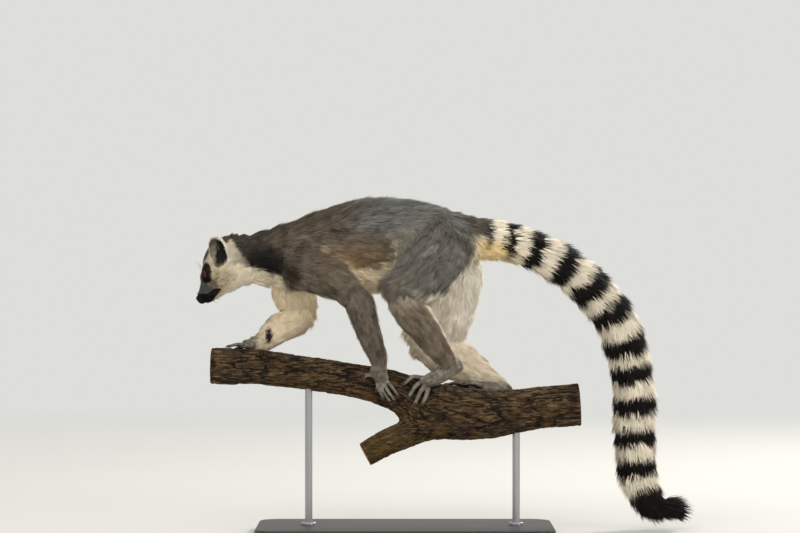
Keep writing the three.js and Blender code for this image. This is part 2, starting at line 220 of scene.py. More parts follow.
# A place on the branch is (x, degrees from its top towards the left side, height above the bark).
HANDS_AND_FEET = {
    "hand_left": {
        "palm": [
            (-36, 52, 18, 9, 8.5),
            (-35, 60, 12.5, 9.5, 7.5),
            (-32, 66, 8, 10, 6),
            (-31, 69, 6.5, 9.5, 5),
        ],
        "wide": (1, 0, 0.1),
        "digits": [
            (((-40, 60, 6.5), (-49, 62, 5), (-55, 70, 3.6)), 3.3),
            (((-38, 66, 5.5), (-36, 92, 4.5), (-29, 120, 3.2)), 3.1),
            (((-34, 69, 5.5), (-30, 97, 4.5), (-20, 122, 3.2)), 3.2),
            (((-30, 69, 5.5), (-23, 94, 4.5), (-14, 113, 3.2)), 3.1),
            (((-26, 64, 5.5), (-17, 82, 4.2), (-9, 97, 3)), 2.9),
        ],
    },
    "hand_right": {
        "palm": [
            (-202, -26, 12, 9, 8.5),
            (-207, -22, 9, 11, 7.5),
            (-213, -19, 7.5, 12.5, 6.5),
            (-217, -17, 6, 11, 5),
        ],
        "wide": (0, 1, 0.2),
        "digits": [
            (((-206, -6, 6), (-212, 2, 5), (-218, 9, 3.6)), 3.5),
            (((-217, -6, 6), (-226, -2, 6), (-235, 1, 3.3)), 3.2),
            (((-218, -15, 6), (-229, -15, 6), (-239, -16, 3.3)), 3.3),
            (((-216, -25, 6), (-226, -33, 5.2), (-235, -42, 3.3)), 3.2),
            (((-212, -35, 6), (-219, -49, 4.6), (-225, -62, 3)), 2.9),
        ],
    },
    "foot_left": {
        "palm": [
            (70, 23, 36, 9, 10),
            (57, 26, 27, 10.5, 11.5),
            (42, 30, 16, 12, 10.5),
            (30, 35, 9, 13, 8),
            (24, 38, 7, 12, 6),
        ],
        "wide": (0, 1, -0.6),
        "digits": [
            (((42, 20, 9), (33, -16, 7.5), (27, -50, 5)), 4.7),
            (((24, 24, 7), (11, 34, 7.5), (-2, 62, 3.8)), 3.7),
            (((24, 34, 7), (14, 56, 6.5), (5, 87, 3.9)), 3.8),
            (((27, 43, 7), (20, 66, 6.2), (13, 95, 3.9)), 3.8),
            (((31, 50, 7), (28, 68, 5.8), (23, 87, 3.6)), 3.5),
        ],
    },
    "foot_right": {
        "palm": [
            (139, -56, 15, 9.5, 10.5),
            (124, -50, 13, 11, 11),
            (106, -44, 10.5, 12.5, 9),
            (92, -40, 8.5, 13, 7.5),
            (84, -38, 7, 12, 6),
        ],
        "wide": (0, 1, 0.8),
        "digits": [
            (((102, -28, 8), (92, -16, 7.2), (82, -8, 5)), 4.7),
            (((84, -28, 7), (69, -25, 7.5), (55, -27, 3.8)), 3.7),
            (((82, -37, 7), (66, -40, 7.5), (50, -44, 3.9)), 3.8),
            (((83, -46, 7), (68, -56, 7), (54, -66, 3.9)), 3.8),
            (((87, -55, 7), (76, -70, 6), (66, -86, 3.6)), 3.5),
        ],
    },
}
DIGIT_SHARES = [1.0, 0.88, 0.76, 0.74]  # of the digit's radius at its root, bend, last joint and tip
DIGIT_DEPTH = 0.92  # of a digit's width
LAST_JOINT = 0.6  # of the way from a digit's bend to its tip


# ---- lines, noise and distances
def unit(vectors):
    return vectors / np.maximum(np.linalg.norm(vectors, axis=-1, keepdims=True), 1e-9)


def dot(a, b):
    return (a * b).sum(-1)


def smooth(low, high, value):
    """0 below low and 1 above high, with a soft step between."""
    t = np.clip((value - low) / (high - low), 0, 1)
    return t * t * (3 - 2 * t)


# Large numbers that scatter neighbouring cells, and the largest and middle values of what they give.
CELL_KEYS, SEED_KEY = np.array([73856093, 19349663, 83492791]), 2654435
STIRS = ((13, 1274126177), (15, 668265263))
LARGEST, MIDDLE = 0x7FFFFFFF, 0x3FFFFFFF


def noise(points, size, seed=0):
    """Smooth noise from -1 to 1 at points, with lumps about size wide."""
    place = np.asarray(points) / size
    cell = np.floor(place).astype(np.int64)
    part = place - cell
    part = part * part * (3 - 2 * part)
    total = np.zeros(len(place))
    for corner in itertools.product((0, 1), repeat=3):
        key = (cell + corner) @ CELL_KEYS + (seed + 1) * SEED_KEY
        for shift, factor in STIRS:
            key = ((key ^ (key >> shift)) * factor) & LARGEST
        share = np.where(corner, part, 1 - part).prod(1)
        total += share * (key / MIDDLE - 1)
    return total


def blend(a, b, reach):
    """The smaller of two distances, rounded where they are within reach of each other."""
    share = np.clip(0.5 + 0.5 * (b - a) / reach, 0, 1)
    return b + (a - b) * share - reach * share * (1 - share)


class Chain:
    """A closed tube of elliptical sections along a smooth curve, sunk by the depth of the coat on it."""

    NEAR = 16.0  # points further away than this are not measured
    FAR = 40.0  # and count as this far
    LEAST = 0.3  # share of a section that is left where the coat is deeper than it
    THIN = 0.2  # no section is thinner than this
    CORE = 0.05  # share of a section, round its middle, where all points count as equally deep

    def __init__(self, sections, coat=0.0, across=(0, 1, 0), spacing=2.5, caps=(0.7, 0.7)):
        table = np.asarray(sections, float)
        ends = np.vstack([2 * table[0] - table[1], table, 2 * table[-1] - table[-2]])
        rows = []
        for i, length in enumerate(np.linalg.norm(np.diff(table[:, :3], axis=0), axis=1)):
            steps = max(2, math.ceil(length / spacing))
            t = np.arange(steps + (i == len(table) - 2))[:, None] / steps
            a, b, c, d = ends[i : i + 4]
            bend = (2 * a - 5 * b + 4 * c - d) * t**2
            twist = (3 * b - a - 3 * c + d) * t**3
            rows.append(b + 0.5 * ((c - a) * t + bend + twist))
        rows = np.vstack(rows)
        self.middle = rows[:, :3]
        self.half = np.maximum(rows[:, 3:5] - coat, rows[:, 3:5] * self.LEAST)
        self.along = np.concatenate([[0], np.cumsum(np.linalg.norm(np.diff(self.middle, axis=0), axis=1))])
        self.length = self.along[-1]
        self.slope = np.gradient(self.half, self.along, axis=0)
        self.tangent = unit(np.gradient(self.middle, self.along, axis=0))
        across = np.asarray(across, float)
        self.side = unit(across - self.tangent * dot(self.tangent, across)[:, None])
        self.up = np.cross(self.tangent, self.side)
        self.caps = caps
        reach = self.half.max() + self.NEAR
        self.low = self.middle.min(0) - reach
        self.high = self.middle.max(0) + reach
        for name in ("middle", "half", "along", "slope", "tangent", "side", "up"):
            setattr(self, name, getattr(self, name).astype(np.float32))

    def locate(self, points):
        """Distance from the surface, nearest station, way along, and place in the section: aside, above."""
        nearest = np.argmin((self.middle**2).sum(1) - 2 * points @ self.middle.T, axis=1)
        offset = points - self.middle[nearest]
        ahead = dot(offset, self.tangent[nearest])
        past_last = np.where(nearest == len(self.middle) - 1, np.maximum(ahead, 0), 0)
        beyond = np.where(nearest == 0, np.minimum(ahead, 0), past_last)
        inner = ahead - beyond
        half = np.maximum(self.half[nearest] + self.slope[nearest] * inner[:, None], self.THIN)
        aside = dot(offset, self.side[nearest])
        above = dot(offset, self.up[nearest])
        cap = np.where(nearest == 0, self.caps[0], self.caps[1]) * half.min(1)
        share = np.sqrt((aside / half[:, 0]) ** 2 + (above / half[:, 1]) ** 2 + (beyond / cap) ** 2)
        plain = np.sqrt(aside**2 + above**2 + beyond**2)
        distance = np.where(share > self.CORE, plain * (1 - 1 / np.maximum(share, self.CORE)), -half.min(1))
        return distance, nearest, self.along[nearest] + ahead, aside / half[:, 0], above / half[:, 1]

    def distance(self, points):
        result = np.full(len(points), self.FAR, np.float32)
        near = ((points > self.low) & (points < self.high)).all(1)
        if near.any():
            result[near] = self.locate(points[near].astype(np.float32))[0]
        return result


# ---- the animal's forms
HEAD_FORWARD = np.array([-math.cos(HEAD_PITCH), 0, -math.sin(HEAD_PITCH)])
HEAD_UP = np.array([-math.sin(HEAD_PITCH), 0, math.cos(HEAD_PITCH)])


def head_point(back, up, aside=0.0):
    return NOSE_TIP - HEAD_FORWARD * back + HEAD_UP * up + np.array([0, aside, 0])


def head_way(back, up, aside=0.0):
    """A direction in the head, in the model's frame."""
    return HEAD_UP * up - HEAD_FORWARD * back + np.array([0, aside, 0])


def in_head(points):
    """How far points are behind the nose, above the head's axis, and to its right."""
    offset = points - NOSE_TIP
    return -offset @ HEAD_FORWARD, offset @ HEAD_UP, offset[:, 1]


def head_chain(places, coat, **options):
    return Chain([(*head_point(back, up), wide, deep) for back, up, wide, deep in places], coat, **options)


def ear_chains(side, coat):
    """The leaf of an ear, and the bowl that hollows it."""
    root, tip = (head_point(back, up, side * aside) for back, up, aside in (EAR["root"], EAR["tip"]))
    back, up, aside = EAR["facing"]
    facing = unit(head_way(back, up, side * aside))
    across = np.cross(tip - root, facing)

    def leaf(width, thick, shift):
        return [(*(root + (tip - root) * t + facing * shift), width * w, thick * d) for t, w, d in EAR_LEAF]

    shell = Chain(leaf(EAR["width"] - coat, EAR["thick"], 0), across=across, caps=(0.4, 0.9), spacing=1.5)
    wide, deep = EAR["bowl"]
    bowl = Chain(leaf(EAR["width"] * wide, EAR["thick"] * deep, EAR["hollow"]), across=across, spacing=1.5)
    return shell, bowl


branch_chain = Chain(BRANCH, caps=(0.01, 0.01))


def on_branch(place):
    """The point at a place on the branch, and the way out of the bark there."""
    x, degrees, height = place
    stations = branch_chain.middle[:, 0]
    y, z = (np.interp(x, stations, branch_chain.middle[:, axis]) for axis in (1, 2))
    wide, high = (np.interp(x, stations, branch_chain.half[:, axis]) for axis in (0, 1))
    angle = math.radians(degrees)
    out = np.array([0, -(wide + height) * math.sin(angle), (high + height) * math.cos(angle)])
    return np.array([x, y, z]) + out, unit(out)


def digit_line(way):
    """A finger's root, bend, last joint and tip, and its sideways direction."""
    root, bend, tip = (on_branch(place)[0] for place in way)
    across = np.cross(tip - root, on_branch(way[1])[1])
    return [root, bend, bend + (tip - bend) * LAST_JOINT, tip], across


def digit_chain(way, radius, coat=0.0):
    line, across = digit_line(way)
    widths = [radius * share for share in DIGIT_SHARES]
    sections = [(*point, wide, wide * DIGIT_DEPTH) for point, wide in zip(line, widths)]
    return Chain(sections, coat, across=across, spacing=1.5, caps=(0.9, 0.9))


def palm_chain(part, coat=0.0):
    sections = [(*on_branch(row[:3])[0], *row[3:]) for row in part["palm"]]
    return Chain(sections, coat, across=part["wide"], spacing=2, caps=(0.8, 0.5))


class Coat:
    """How hair grows on one region: its depth over the skin, its length, a lock's width, and its density."""

    def __init__(self, depth, length, width, density):
        self.depth, self.length, self.width, self.density = depth, length, width, density


COATS = {
    "trunk": Coat(7, 19, 1.6, 1.0),
    "neck": Coat(6, 16, 1.6, 1.1),
    "head": Coat(2, 5.5, 0.85, 2.6),
    "ear": Coat(0.5, 4.5, 0.6, 2.6),
    "tail": Coat(12.5, 27, 1.6, 1.35),
    "upper_arm": Coat(4.5, 14, 1.5, 1.1),
    "forearm": Coat(3.4, 10, 1.25, 1.3),
    "thigh": Coat(6, 17, 1.6, 1.05),
    "shank": Coat(4, 11, 1.35, 1.2),
    "palm": Coat(1.0, 4.6, 0.75, 2.6),
    "digit": Coat(0.5, 3.0, 0.5, 2.6),
}
SIDES = {LEFT: "left", RIGHT: "right"}

chains = {
    "trunk": Chain(TRUNK, COATS["trunk"].depth, caps=(0.8, 0.5)),
    "neck": Chain(NECK, COATS["neck"].depth, caps=(0.4, 0.4)),
    "head": head_chain(SKULL, COATS["head"].depth, caps=(0.75, 0.55)),
    "tail": Chain(TAIL, COATS["tail"].depth, spacing=4),
}
tail_base = Chain(TAIL_BASE, TAIL_BASE_DEPTH)
for name, sections in LIMB_SECTIONS.items():
    chains[name] = Chain(sections, COATS[name.rsplit("_", 1)[0]].depth)
ears = {side: ear_chains(side, COATS["ear"].depth) for side in SIDES}
for side, word in SIDES.items():
    chains[f"ear_{word}"] = ears[side][0]
palms = {name: palm_chain(part, COATS["palm"].depth) for name, part in HANDS_AND_FEET.items()}
digits = {
    name: [digit_chain(way, radius, COATS["digit"].depth) for way, radius in part["digits"]]
    for name, part in HANDS_AND_FEET.items()
}


def mouth_line(side):
    line = [head_point(back, up, side * aside) for back, up, aside in MOUTH]
    return Chain([(*point, MOUTH_GROOVE, MOUTH_GROOVE) for point in line], spacing=1)


mouth_lines = {side: mouth_line(side) for side in SIDES}
gazes = {side: unit(np.array(EYE["gaze"]) * (1, side, 1)) for side in SIDES}
eye_middles = {side: head_point(EYE["place"][0], EYE["place"][1], side * EYE["place"][2]) for side in SIDES}


def ball(points, middle, radius):
    return np.linalg.norm(points - middle, axis=1) - radius


def egg(points, middle, radii):
    """How far out points lie from a middle: 1 on an egg with these radii."""
    return np.linalg.norm((points - middle) / radii, axis=1)


def eye_frame(side):
    """The directions across and up over the front of an eye. Across runs towards the nose."""
    across = unit(np.cross(gazes[side], HEAD_UP) * side)
    return across, unit(np.cross(across, gazes[side]) * side)


def eye_opening(points, side):
    """1 for points on the edge of the slit between the lids, seen from inside the eye, and more past it."""
    across, up = eye_frame(side)
    way = unit(points - eye_middles[side])
    wide, high = EYE["opening"]
    angle = np.arccos(np.clip(way @ gazes[side], -1, 1))
    around = np.arctan2(way @ up, way @ across)
    return angle * np.hypot(np.cos(around) / wide, np.sin(around) / high)


def head_form(points):
    """The head: skull, pads of lip and cheek, lids round a hollow for each eye, ears and mouth."""
    form = chains["head"].distance(points)
    for side in SIDES:
        for (back, up, aside), radius, reach in PADS:
            form = blend(form, ball(points, head_point(back, up, side * aside), radius), reach)
        middle = eye_middles[side]
        lids = ball(points, middle - gazes[side] * EYE["lid_shift"], EYE["radius"] + EYE["lid"])
        form = blend(form, lids, REACH["lid"])
        form = np.maximum(form, -mouth_lines[side].distance(points))
        shell, bowl = ears[side]
        form = blend(form, np.maximum(shell.distance(points), -bowl.distance(points)), REACH["ear"])
        hollow = ball(points, middle, EYE["radius"] + EYE["gap"])
        front = np.maximum((eye_opening(points, side) - 1) * 6, ball(points, middle, EYE["radius"] * 1.6))
        form = np.maximum(form, -np.minimum(hollow, front))
    return form


def limb_form(points, upper, lower, end):
    """One limb: its two lengths, then its palm or sole, and its fingers or toes."""
    form = blend(chains[upper].distance(points), chains[lower].distance(points), REACH["lower_limb"])
    form = blend(form, palms[end].distance(points), REACH["palm"])
    for digit in digits[end]:
        form = blend(form, digit.distance(points), REACH["digit"])
    return form


def flesh(points):
    """Signed distance of points from the skin of the whole animal."""
    near_head = ((points > chains["head"].low) & (points < chains["head"].high)).all(1)
    torso = blend(chains["trunk"].distance(points), chains["neck"].distance(points), REACH["neck"])
    head = np.full(len(points), Chain.FAR, np.float32)
    if near_head.any():
        head[near_head] = head_form(points[near_head])
    torso = blend(torso, head, REACH["head"])
    for chain in (tail_base, chains["tail"]):
        torso = blend(torso, chain.distance(points), REACH["tail"])
    whole = torso
    for word in SIDES.values():
        for parts in (("upper_arm", "forearm", "hand"), ("thigh", "shank", "foot")):
            limb = limb_form(points, *(f"{part}_{word}" for part in parts))
            whole = np.minimum(whole, blend(torso, limb, REACH["limb"]))
    return whole


# ---- a closed mesh from a field of distances
BLOCK = 8  # cells along the edge of a block of the lattice
NEAR_BLOCK = 1.2  # times that edge: the surface may pass through a block whose middle is nearer to it
BATCHES = 24  # in which the middles of the blocks are measured
BLOCKS_AT_ONCE = 300
CORNERS = np.array(list(itertools.product((0, 1), repeat=3)))


def lattice(counts):
    """All the whole-numbered places in a box with these counts along its axes."""
    return np.stack(np.meshgrid(*[np.arange(count) for count in counts], indexing="ij"), -1).reshape(-1, 3)


def blocks_near(field, low, blocks, cell):
    """The first cells of the blocks that the surface may pass through."""
    ids = lattice(blocks)
    middles = low + (ids + 0.5) * cell * BLOCK
    reach = cell * BLOCK * NEAR_BLOCK
    near = np.concatenate([np.abs(field(part)) < reach for part in np.array_split(middles, BATCHES)])
    return ids[near] * BLOCK


def window(array, corner):
    """The values at one corner of every cell, from those at all the points of the blocks."""
    x, y, z = corner
    return array[:, x : x + BLOCK, y : y + BLOCK, z : z + BLOCK]


def points_in_cells(value):
    """The middle of the places where the surface crosses the edges of each cell, from its eight corners."""
    total = np.zeros((len(value), 3))
    crossings = np.zeros(len(value))
    for a, b in itertools.combinations(range(len(CORNERS)), 2):
        if abs(CORNERS[a] - CORNERS[b]).sum() != 1:
            continue
        crosses = (value[:, a] < 0) != (value[:, b] < 0)
        share = np.where(crosses, value[:, a] / np.where(crosses, value[:, a] - value[:, b], 1), 0)
        total += np.where(crosses[:, None], CORNERS[a] + (CORNERS[b] - CORNERS[a]) * share[:, None], 0)
        crossings += crosses
    return total / crossings[:, None]


def surface_of(field, low, high, cell):
    """The closed mesh where field is 0 between low and high: one point in each cell, four round each edge."""
    low = np.asarray(low, float)
    blocks = np.ceil((np.asarray(high) - low) / (cell * BLOCK)).astype(int)
    ids = blocks_near(field, low, blocks, cell)
    steps = lattice([BLOCK + 1] * 3)
    values = []
    for part in np.array_split(ids, max(1, len(ids) // BLOCKS_AT_ONCE)):
        values.append(field((low + (part[:, None] + steps) * cell).reshape(-1, 3)))
    values = np.concatenate(values).reshape(-1, BLOCK + 1, BLOCK + 1, BLOCK + 1)
    inside = values < 0
    size = blocks * BLOCK + 2

    def key(places):
        return (places[..., 0] * size[1] + places[..., 1]) * size[2] + places[..., 2]

    count = sum(window(inside, corner).astype(np.int8) for corner in CORNERS)
    mixed = np.nonzero((count > 0) & (count < len(CORNERS)))
    cells = ids[mixed[0]] + np.stack(mixed[1:], -1)
    value = np.stack([window(values, corner)[mixed] for corner in CORNERS], -1)
    points = low + (cells + points_in_cells(value)) * cell
    keys = key(cells)
    order = np.argsort(keys)
    keys, points = keys[order], points[order]

    faces = []
    for axis in range(3):
        step, first, second = np.roll(np.eye(3, dtype=int), axis, axis=0)
        start, end = window(inside, (0, 0, 0)), window(inside, step)
        at = np.nonzero(start != end)
        corner = ids[at[0]] + np.stack(at[1:], -1)
        quad = np.stack([corner - first - second, corner - second, corner, corner - first], 1)
        outwards = start[at]
        quad = np.where(outwards[:, None, None], quad, quad[:, ::-1])
        faces.append(np.searchsorted(keys, key(quad)))
    return points, np.concatenate(faces)


# ---- meshes
def make_object(name, points, faces):
    """An object from points in millimetres and faces that all have as many corners."""
    points, faces = np.asarray(points, float), np.asarray(faces, np.int32)
    mesh = bpy.data.meshes.new(name)
    mesh.vertices.add(len(points))
    mesh.vertices.foreach_set("co", (points * MM).ravel())
    mesh.loops.add(faces.size)
    mesh.loops.foreach_set("vertex_index", faces.ravel())
    mesh.polygons.add(len(faces))
    mesh.polygons.foreach_set("loop_start", np.arange(0, faces.size, faces.shape[1], dtype=np.int32))
    mesh.polygons.foreach_set("use_smooth", np.full(len(faces), True))
    mesh.update()
    piece = bpy.data.objects.new(name, mesh)
    bpy.context.scene.collection.objects.link(piece)
    return piece


def paint(piece, name, values):
    """A colour attribute with four numbers at each point of a piece."""
    layer = piece.data.attributes.new(name, "FLOAT_COLOR", "POINT")
    layer.data.foreach_set("color", np.asarray(values, np.float32).ravel())


def thin_out(piece, triangles):
    """Leave fewer triangles in a piece, most of them where its form is finest."""
    faces = len(piece.data.polygons) * 2
    modifier = piece.modifiers.new("thin", "DECIMATE")
    modifier.ratio = min(1.0, triangles / faces)
    modifier.use_collapse_triangulate = True
    mesh = bpy.data.meshes.new_from_object(piece.evaluated_get(bpy.context.evaluated_depsgraph_get()))
    piece.modifiers.clear()
    piece.data = mesh
    mesh.name = piece.name


# ---- where each point of the skin belongs
class Region:
    """One length of the body: its chain, its coat, its group of coat pieces, and which way its hair lies."""

    def __init__(self, name, chain, coat, group, lie=1):
        self.name, self.chain, self.coat, self.group, self.lie = name, chain, coat, group, lie
        self.kind = name.rsplit("_", 1)[0]
        self.side = {word: side for side, word in SIDES.items()}.get(name.split("_")[-1], 0)


def all_regions():
    found = [
        Region("trunk", chains["trunk"], COATS["trunk"], "trunk"),
        Region("neck", chains["neck"], COATS["neck"], "neck", lie=-1),
        Region("head", chains["head"], COATS["head"], "head"),
        Region("tail", chains["tail"], COATS["tail"], "tail"),
    ]
    for word in SIDES.values():
        found.append(Region(f"ear_{word}", chains[f"ear_{word}"], COATS["ear"], "head"))
        for limb, group in (("upper_arm", "arm"), ("forearm", "arm"), ("thigh", "leg"), ("shank", "leg")):
            found.append(Region(f"{limb}_{word}", chains[f"{limb}_{word}"], COATS[limb], f"{group}_{word}"))
    for name, chain in palms.items():
        group = name.replace("hand", "arm").replace("foot", "leg")
        found.append(Region(name, chain, COATS["palm"], group))
        for digit in digits[name]:
            found.append(Region(name, digit, COATS["digit"], group))
    return found


regions = all_regions()
NAMES = [region.name for region in regions]
TRUNK_ROW, NECK_ROW, HEAD_ROW, TAIL_ROW = (NAMES.index(name) for name in ("trunk", "neck", "head", "tail"))

# How far each region's share reaches past its nearest points.
BROAD = ("trunk", "neck", "tail", "thigh", "upper_arm")
SOFTNESS = np.array([8.0 if region.kind in BROAD else 4.0 for region in regions])


def survey(points):
    """At points of the skin: each region's share, the nearest region, and the place and lie in each one."""
    count = len(points)
    distance = np.full((len(regions), count), Chain.FAR, np.float32)
    place = np.zeros((len(regions), count, 3), np.float32)
    lie = np.zeros((len(regions), count, 3), np.float32)
    for i, region in enumerate(regions):
        near = ((points > region.chain.low) & (points < region.chain.high)).all(1)
        part = points[near].astype(np.float32)
        if not len(part):
            continue
        away, station, along, aside, above = region.chain.locate(part)
        distance[i, near] = away
        place[i, near] = np.stack([along, aside, above], -1)
        lie[i, near] = region.chain.tangent[station] * region.lie
    closest = distance.min(0)
    share = np.exp(-(distance - closest) / SOFTNESS[:, None]) * (distance < Chain.FAR)
    share /= share.sum(0)
    return share, distance.argmin(0), place, lie


def shared(share, values):
    return np.asarray(values, np.float32) @ share


# ---- markings of the skin and the coat
# Marks are three shares of the colour at points of a region: how pale, how dark and how warm its hair is.

RINGS = [  # how far down the tail each dark ring is, and half its width
    (47, 3.6),
    (77, 8),
    (114, 11),
    (159, 12),
    (206, 12.5),
    (252, 12.5),
    (303, 12.5),
    (344, 12),
    (388, 12),
    (432, 12),
    (475, 11),
]
TAIL_TIP = 505  # all dark from here on


def tail_marks(points, along, aside, above):
    """Dark rings on pale hair, faint below near the root, which is brown on top and warm underneath."""
    ragged = along + 3 * noise(points, 6, 3)
    dark = smooth(TAIL_TIP - 5, TAIL_TIP + 5, ragged)
    for place, half in RINGS:
        fade = smooth(-1.1, 0.1, above + 2.5 * smooth(60, 130, place))
        dark = np.maximum(dark, fade * smooth(half + 1.8, half - 1.8, np.abs(ragged - place)))
    saddle = smooth(50, 40, ragged) * smooth(-0.1, 0.45, above)
    pale = (1 - dark) * (1 - saddle)
    warm = np.maximum(0.95 * smooth(140, 50, along) * smooth(0.5, -0.4, above), 0.26)
    return pale, np.maximum(dark, 0.55 * saddle), np.maximum(warm, 0.4 * saddle)


# Where pale hair meets dark: x, and how far up the section of the trunk, and of the neck.
BELLY_LINE = ((-190, -165, -128, -100, -60, 20, 60), (-0.44, -0.62, -0.9, -0.62, -0.46, -0.46, -0.35))
THROAT_LINE = ((-222, -209, -190, -176, -150), (0.08, -0.24, -0.5, -0.56, -0.66))


def trunk_marks(points, along, aside, above):
    """A grey-brown back, a tan flank and a cream belly, with a dark edge along the breast."""
    uneven = 0.1 * noise(points, 14, 4) + 0.06 * noise(points, 5, 5)
    height = above + uneven - np.interp(points[:, 0], *BELLY_LINE)
    front = smooth(-20, -125, points[:, 0])
    pale = smooth(0.08, -0.12, height)
    flank = smooth(0.9, 0.2, height) * smooth(-135, -105, points[:, 0]) * smooth(30, 0, points[:, 0])
    edge = smooth(0.75, 0.2, height) * smooth(-105, -140, points[:, 0])
    dark = 0.14 + 0.3 * front * (1 - flank) + 0.85 * edge
    warm = np.clip(0.04 + 0.5 * front + 0.64 * flank, 0, 1)
    stump = smooth(-6, 6, points[:, 0] + 30 * uneven - 78 - 12 * smooth(0.9, 0.2, above))
    under = stump * smooth(0.3, -0.2, above)
    dark, warm, pale = dark + 0.3 * stump, warm + 0.35 * stump, np.maximum(pale, under)
    return pale, dark * (1 - pale), warm * (1 - pale) + (0.5 + 0.3 * under) * pale


def neck_marks(points, along, aside, above):
    """Dark grey, with a pale throat."""
    height = -above + 0.08 * noise(points, 9, 6) + 0.05 * noise(points, 4, 16)
    height -= np.interp(points[:, 0], *THROAT_LINE)
    pale = smooth(0.07, -0.1, height)
    dark = 0.62 + 0.38 * smooth(1.3, 0.4, height)
    return pale, dark * (1 - pale) + 0.08 * pale, np.full(len(points), 0.42)


# Above the head's axis, and how far back the nape starts.
NAPE_LINE = ((-30, -16, -5, 8, 22), (84, 85, 88, 91, 93))
# Back from the nose: the upper edge of the dark lips, and half the width of the crown.
LIP_LINE = ((7, 11, 18, 24, 29, 34), (4.5, 0.3, -7, -8.5, -10, -14))
CROWN_LINE = ((44, 58, 76), (9, 15, 24))
# Dark specks on the cheek: back, above the axis, and size.
FLECKS = [
    (41.5, -4, 1.3),
    (44.5, -6, 0.9),
    (46.5, -11.5, 1.2),
    (50.5, -18, 1.2),
    (51.5, -14, 0.8),
    (55, -22, 1),
]
EYE_PATCH = {"middle": (38, 11.5, 16), "radii": (14, 11, 11.5), "rise": (0.83, 0.55)}


def lid_measure(points):
    """How far outside the slit between the lids points lie, where they are near an eye."""
    measure = np.full(len(points), 9.0)
    for side, middle in eye_middles.items():
        near = np.linalg.norm(points - middle, axis=1) < EYE["radius"] + 6
        measure[near] = np.minimum(measure[near], eye_opening(points[near], side))
    return measure


def eye_patch(points, place, uneven):
    """The dark patch round each eye, longest along a line that rises backwards, and the lids."""
    back, up, across = (value - middle for value, middle in zip(place, EYE_PATCH["middle"]))
    long, short, wide = EYE_PATCH["radii"]
    level, rise = EYE_PATCH["rise"]
    ahead = (level * back + rise * up) / long
    aslant = (rise * back - level * up) / short
    patch = smooth(1.12, 0.92, np.sqrt(ahead**2 + aslant**2 + (across / wide) ** 2) + 0.05 * uneven)
    return np.maximum(patch, smooth(1.7, 1.35, lid_measure(points)))


def muzzle_marks(back, up, across, uneven):
    """The slate of the muzzle, the smudge behind it, and the black of the lips and the tip."""
    slate = smooth(32, 27, back + 1.5 * uneven) * smooth(-19, -17, up)
    slate = np.maximum(slate, smooth(37, 32, back) * smooth(2, 6, up))
    smudge = 0.75 * smooth(9.5, 4, np.hypot(back - 33, up + 6)) * smooth(8, 12, across)
    black = smooth(1.2, -1.2, up - np.interp(back, *LIP_LINE) + 0.7 * uneven) * smooth(36, 33.5, back)
    black = np.maximum(black * smooth(-19, -17, up), smooth(7, 4.5, back))
    return slate, smudge, black


def head_marks(points, along, aside, above):
    """A pale face with dark eye patches, a slate muzzle with black lips, and a grey crown and nape. Painted
    shade dulls the face and painted yellow light tints it cream, both strongest on the cheeks, which also
    carry dark pepper specks.
    """
    back, up, across = in_head(points)
    across = np.abs(across)
    uneven = noise(points, 5, 7)
    nape = smooth(-3, 3, back + 2.5 * uneven - np.interp(up, *NAPE_LINE))
    wide = np.interp(back, *CROWN_LINE)
    crown = smooth(12, 19, up + 2 * uneven) * smooth(42, 50, back) * smooth(wide + 4, wide - 3, across)
    patch = eye_patch(points, (back, up, across), uneven)
    slate, smudge, black = muzzle_marks(back, up, across, uneven)
    specks = [smooth(size + 0.5, size - 0.6, np.hypot(back - b, up - u)) for b, u, size in FLECKS]
    fleck = 0.6 * np.max(specks, axis=0) * smooth(8, 12, across)
    # The cheeks, where the face gets the most painted shade and painted yellow light.
    olive = smooth(-26, -16, up) * smooth(66, 56, back) * (0.55 + 0.45 * uneven)
    # Painted shade over the whole face, more on the cheeks, with dark specks of pepper hair there.
    shade_and_pepper = 0.1 + 0.34 * olive + 0.4 * olive * smooth(0.15, 0.6, noise(points, 1.7, 35))
    darks = [patch, 0.4 * slate, black, 0.5 * crown, 0.72 * nape, 0.45 * smudge, fleck, shade_and_pepper]
    grey = np.clip(nape + crown, 0, 1)
    pale = (1 - grey) * (1 - np.max([patch, slate, black, smudge], axis=0)) * (1 - fleck)
    # The face's cream, warmer on the cheeks, is partly painted yellow light.
    warm = (0.42 + 0.4 * olive) * smooth(-34, -22, up) * (1 - slate) * (1 - nape) + 0.25 * nape
    return pale, np.max(darks, axis=0), warm


def ear_front(side):
    """1 where an ear's own sideways direction points to the front, and -1 where it points to the rear."""
    return float(np.sign(ears[side][0].side[4] @ HEAD_FORWARD))


def ear_tufts(side, points, along, aside):
    """How far the hollow of an ear is covered: 1 over its front and top, and 0 low down at its rear."""
    chain = ears[side][0]
    place = aside * ear_front(side) + 0.8 * (along / chain.length - 0.6) + 0.25 * noise(points, 4, 31)
    return smooth(-0.05, 0.4, place)


def ear_marks(side):
    """White outside, black low down at the rear of the hollow, and grey hair over the rest of it."""

    def marks(points, along, aside, above):
        hollow = smooth(1.2, 0.3, ears[side][1].distance(points))
        tufts = ear_tufts(side, points, along, aside) * (0.8 + 0.3 * noise(points, 1.6, 32))
        top = smooth(0.55, 0.9, along / ears[side][0].length)
        dark = hollow * np.maximum(1 - 0.76 * tufts, 0.55 * top)
        return 1 - hollow * (1 - 0.6 * tufts * (1 - 0.7 * top)), dark, 0.12 + 0.25 * hollow

    return marks


class Limb:
    """The colours of one length of a limb: where its inside and its rear edge turn pale, and its shares."""

    def __init__(self, start, edge, warm, dark, pale_warm):
        self.start, self.edge, self.warm, self.dark, self.pale_warm = start, edge, warm, dark, pale_warm


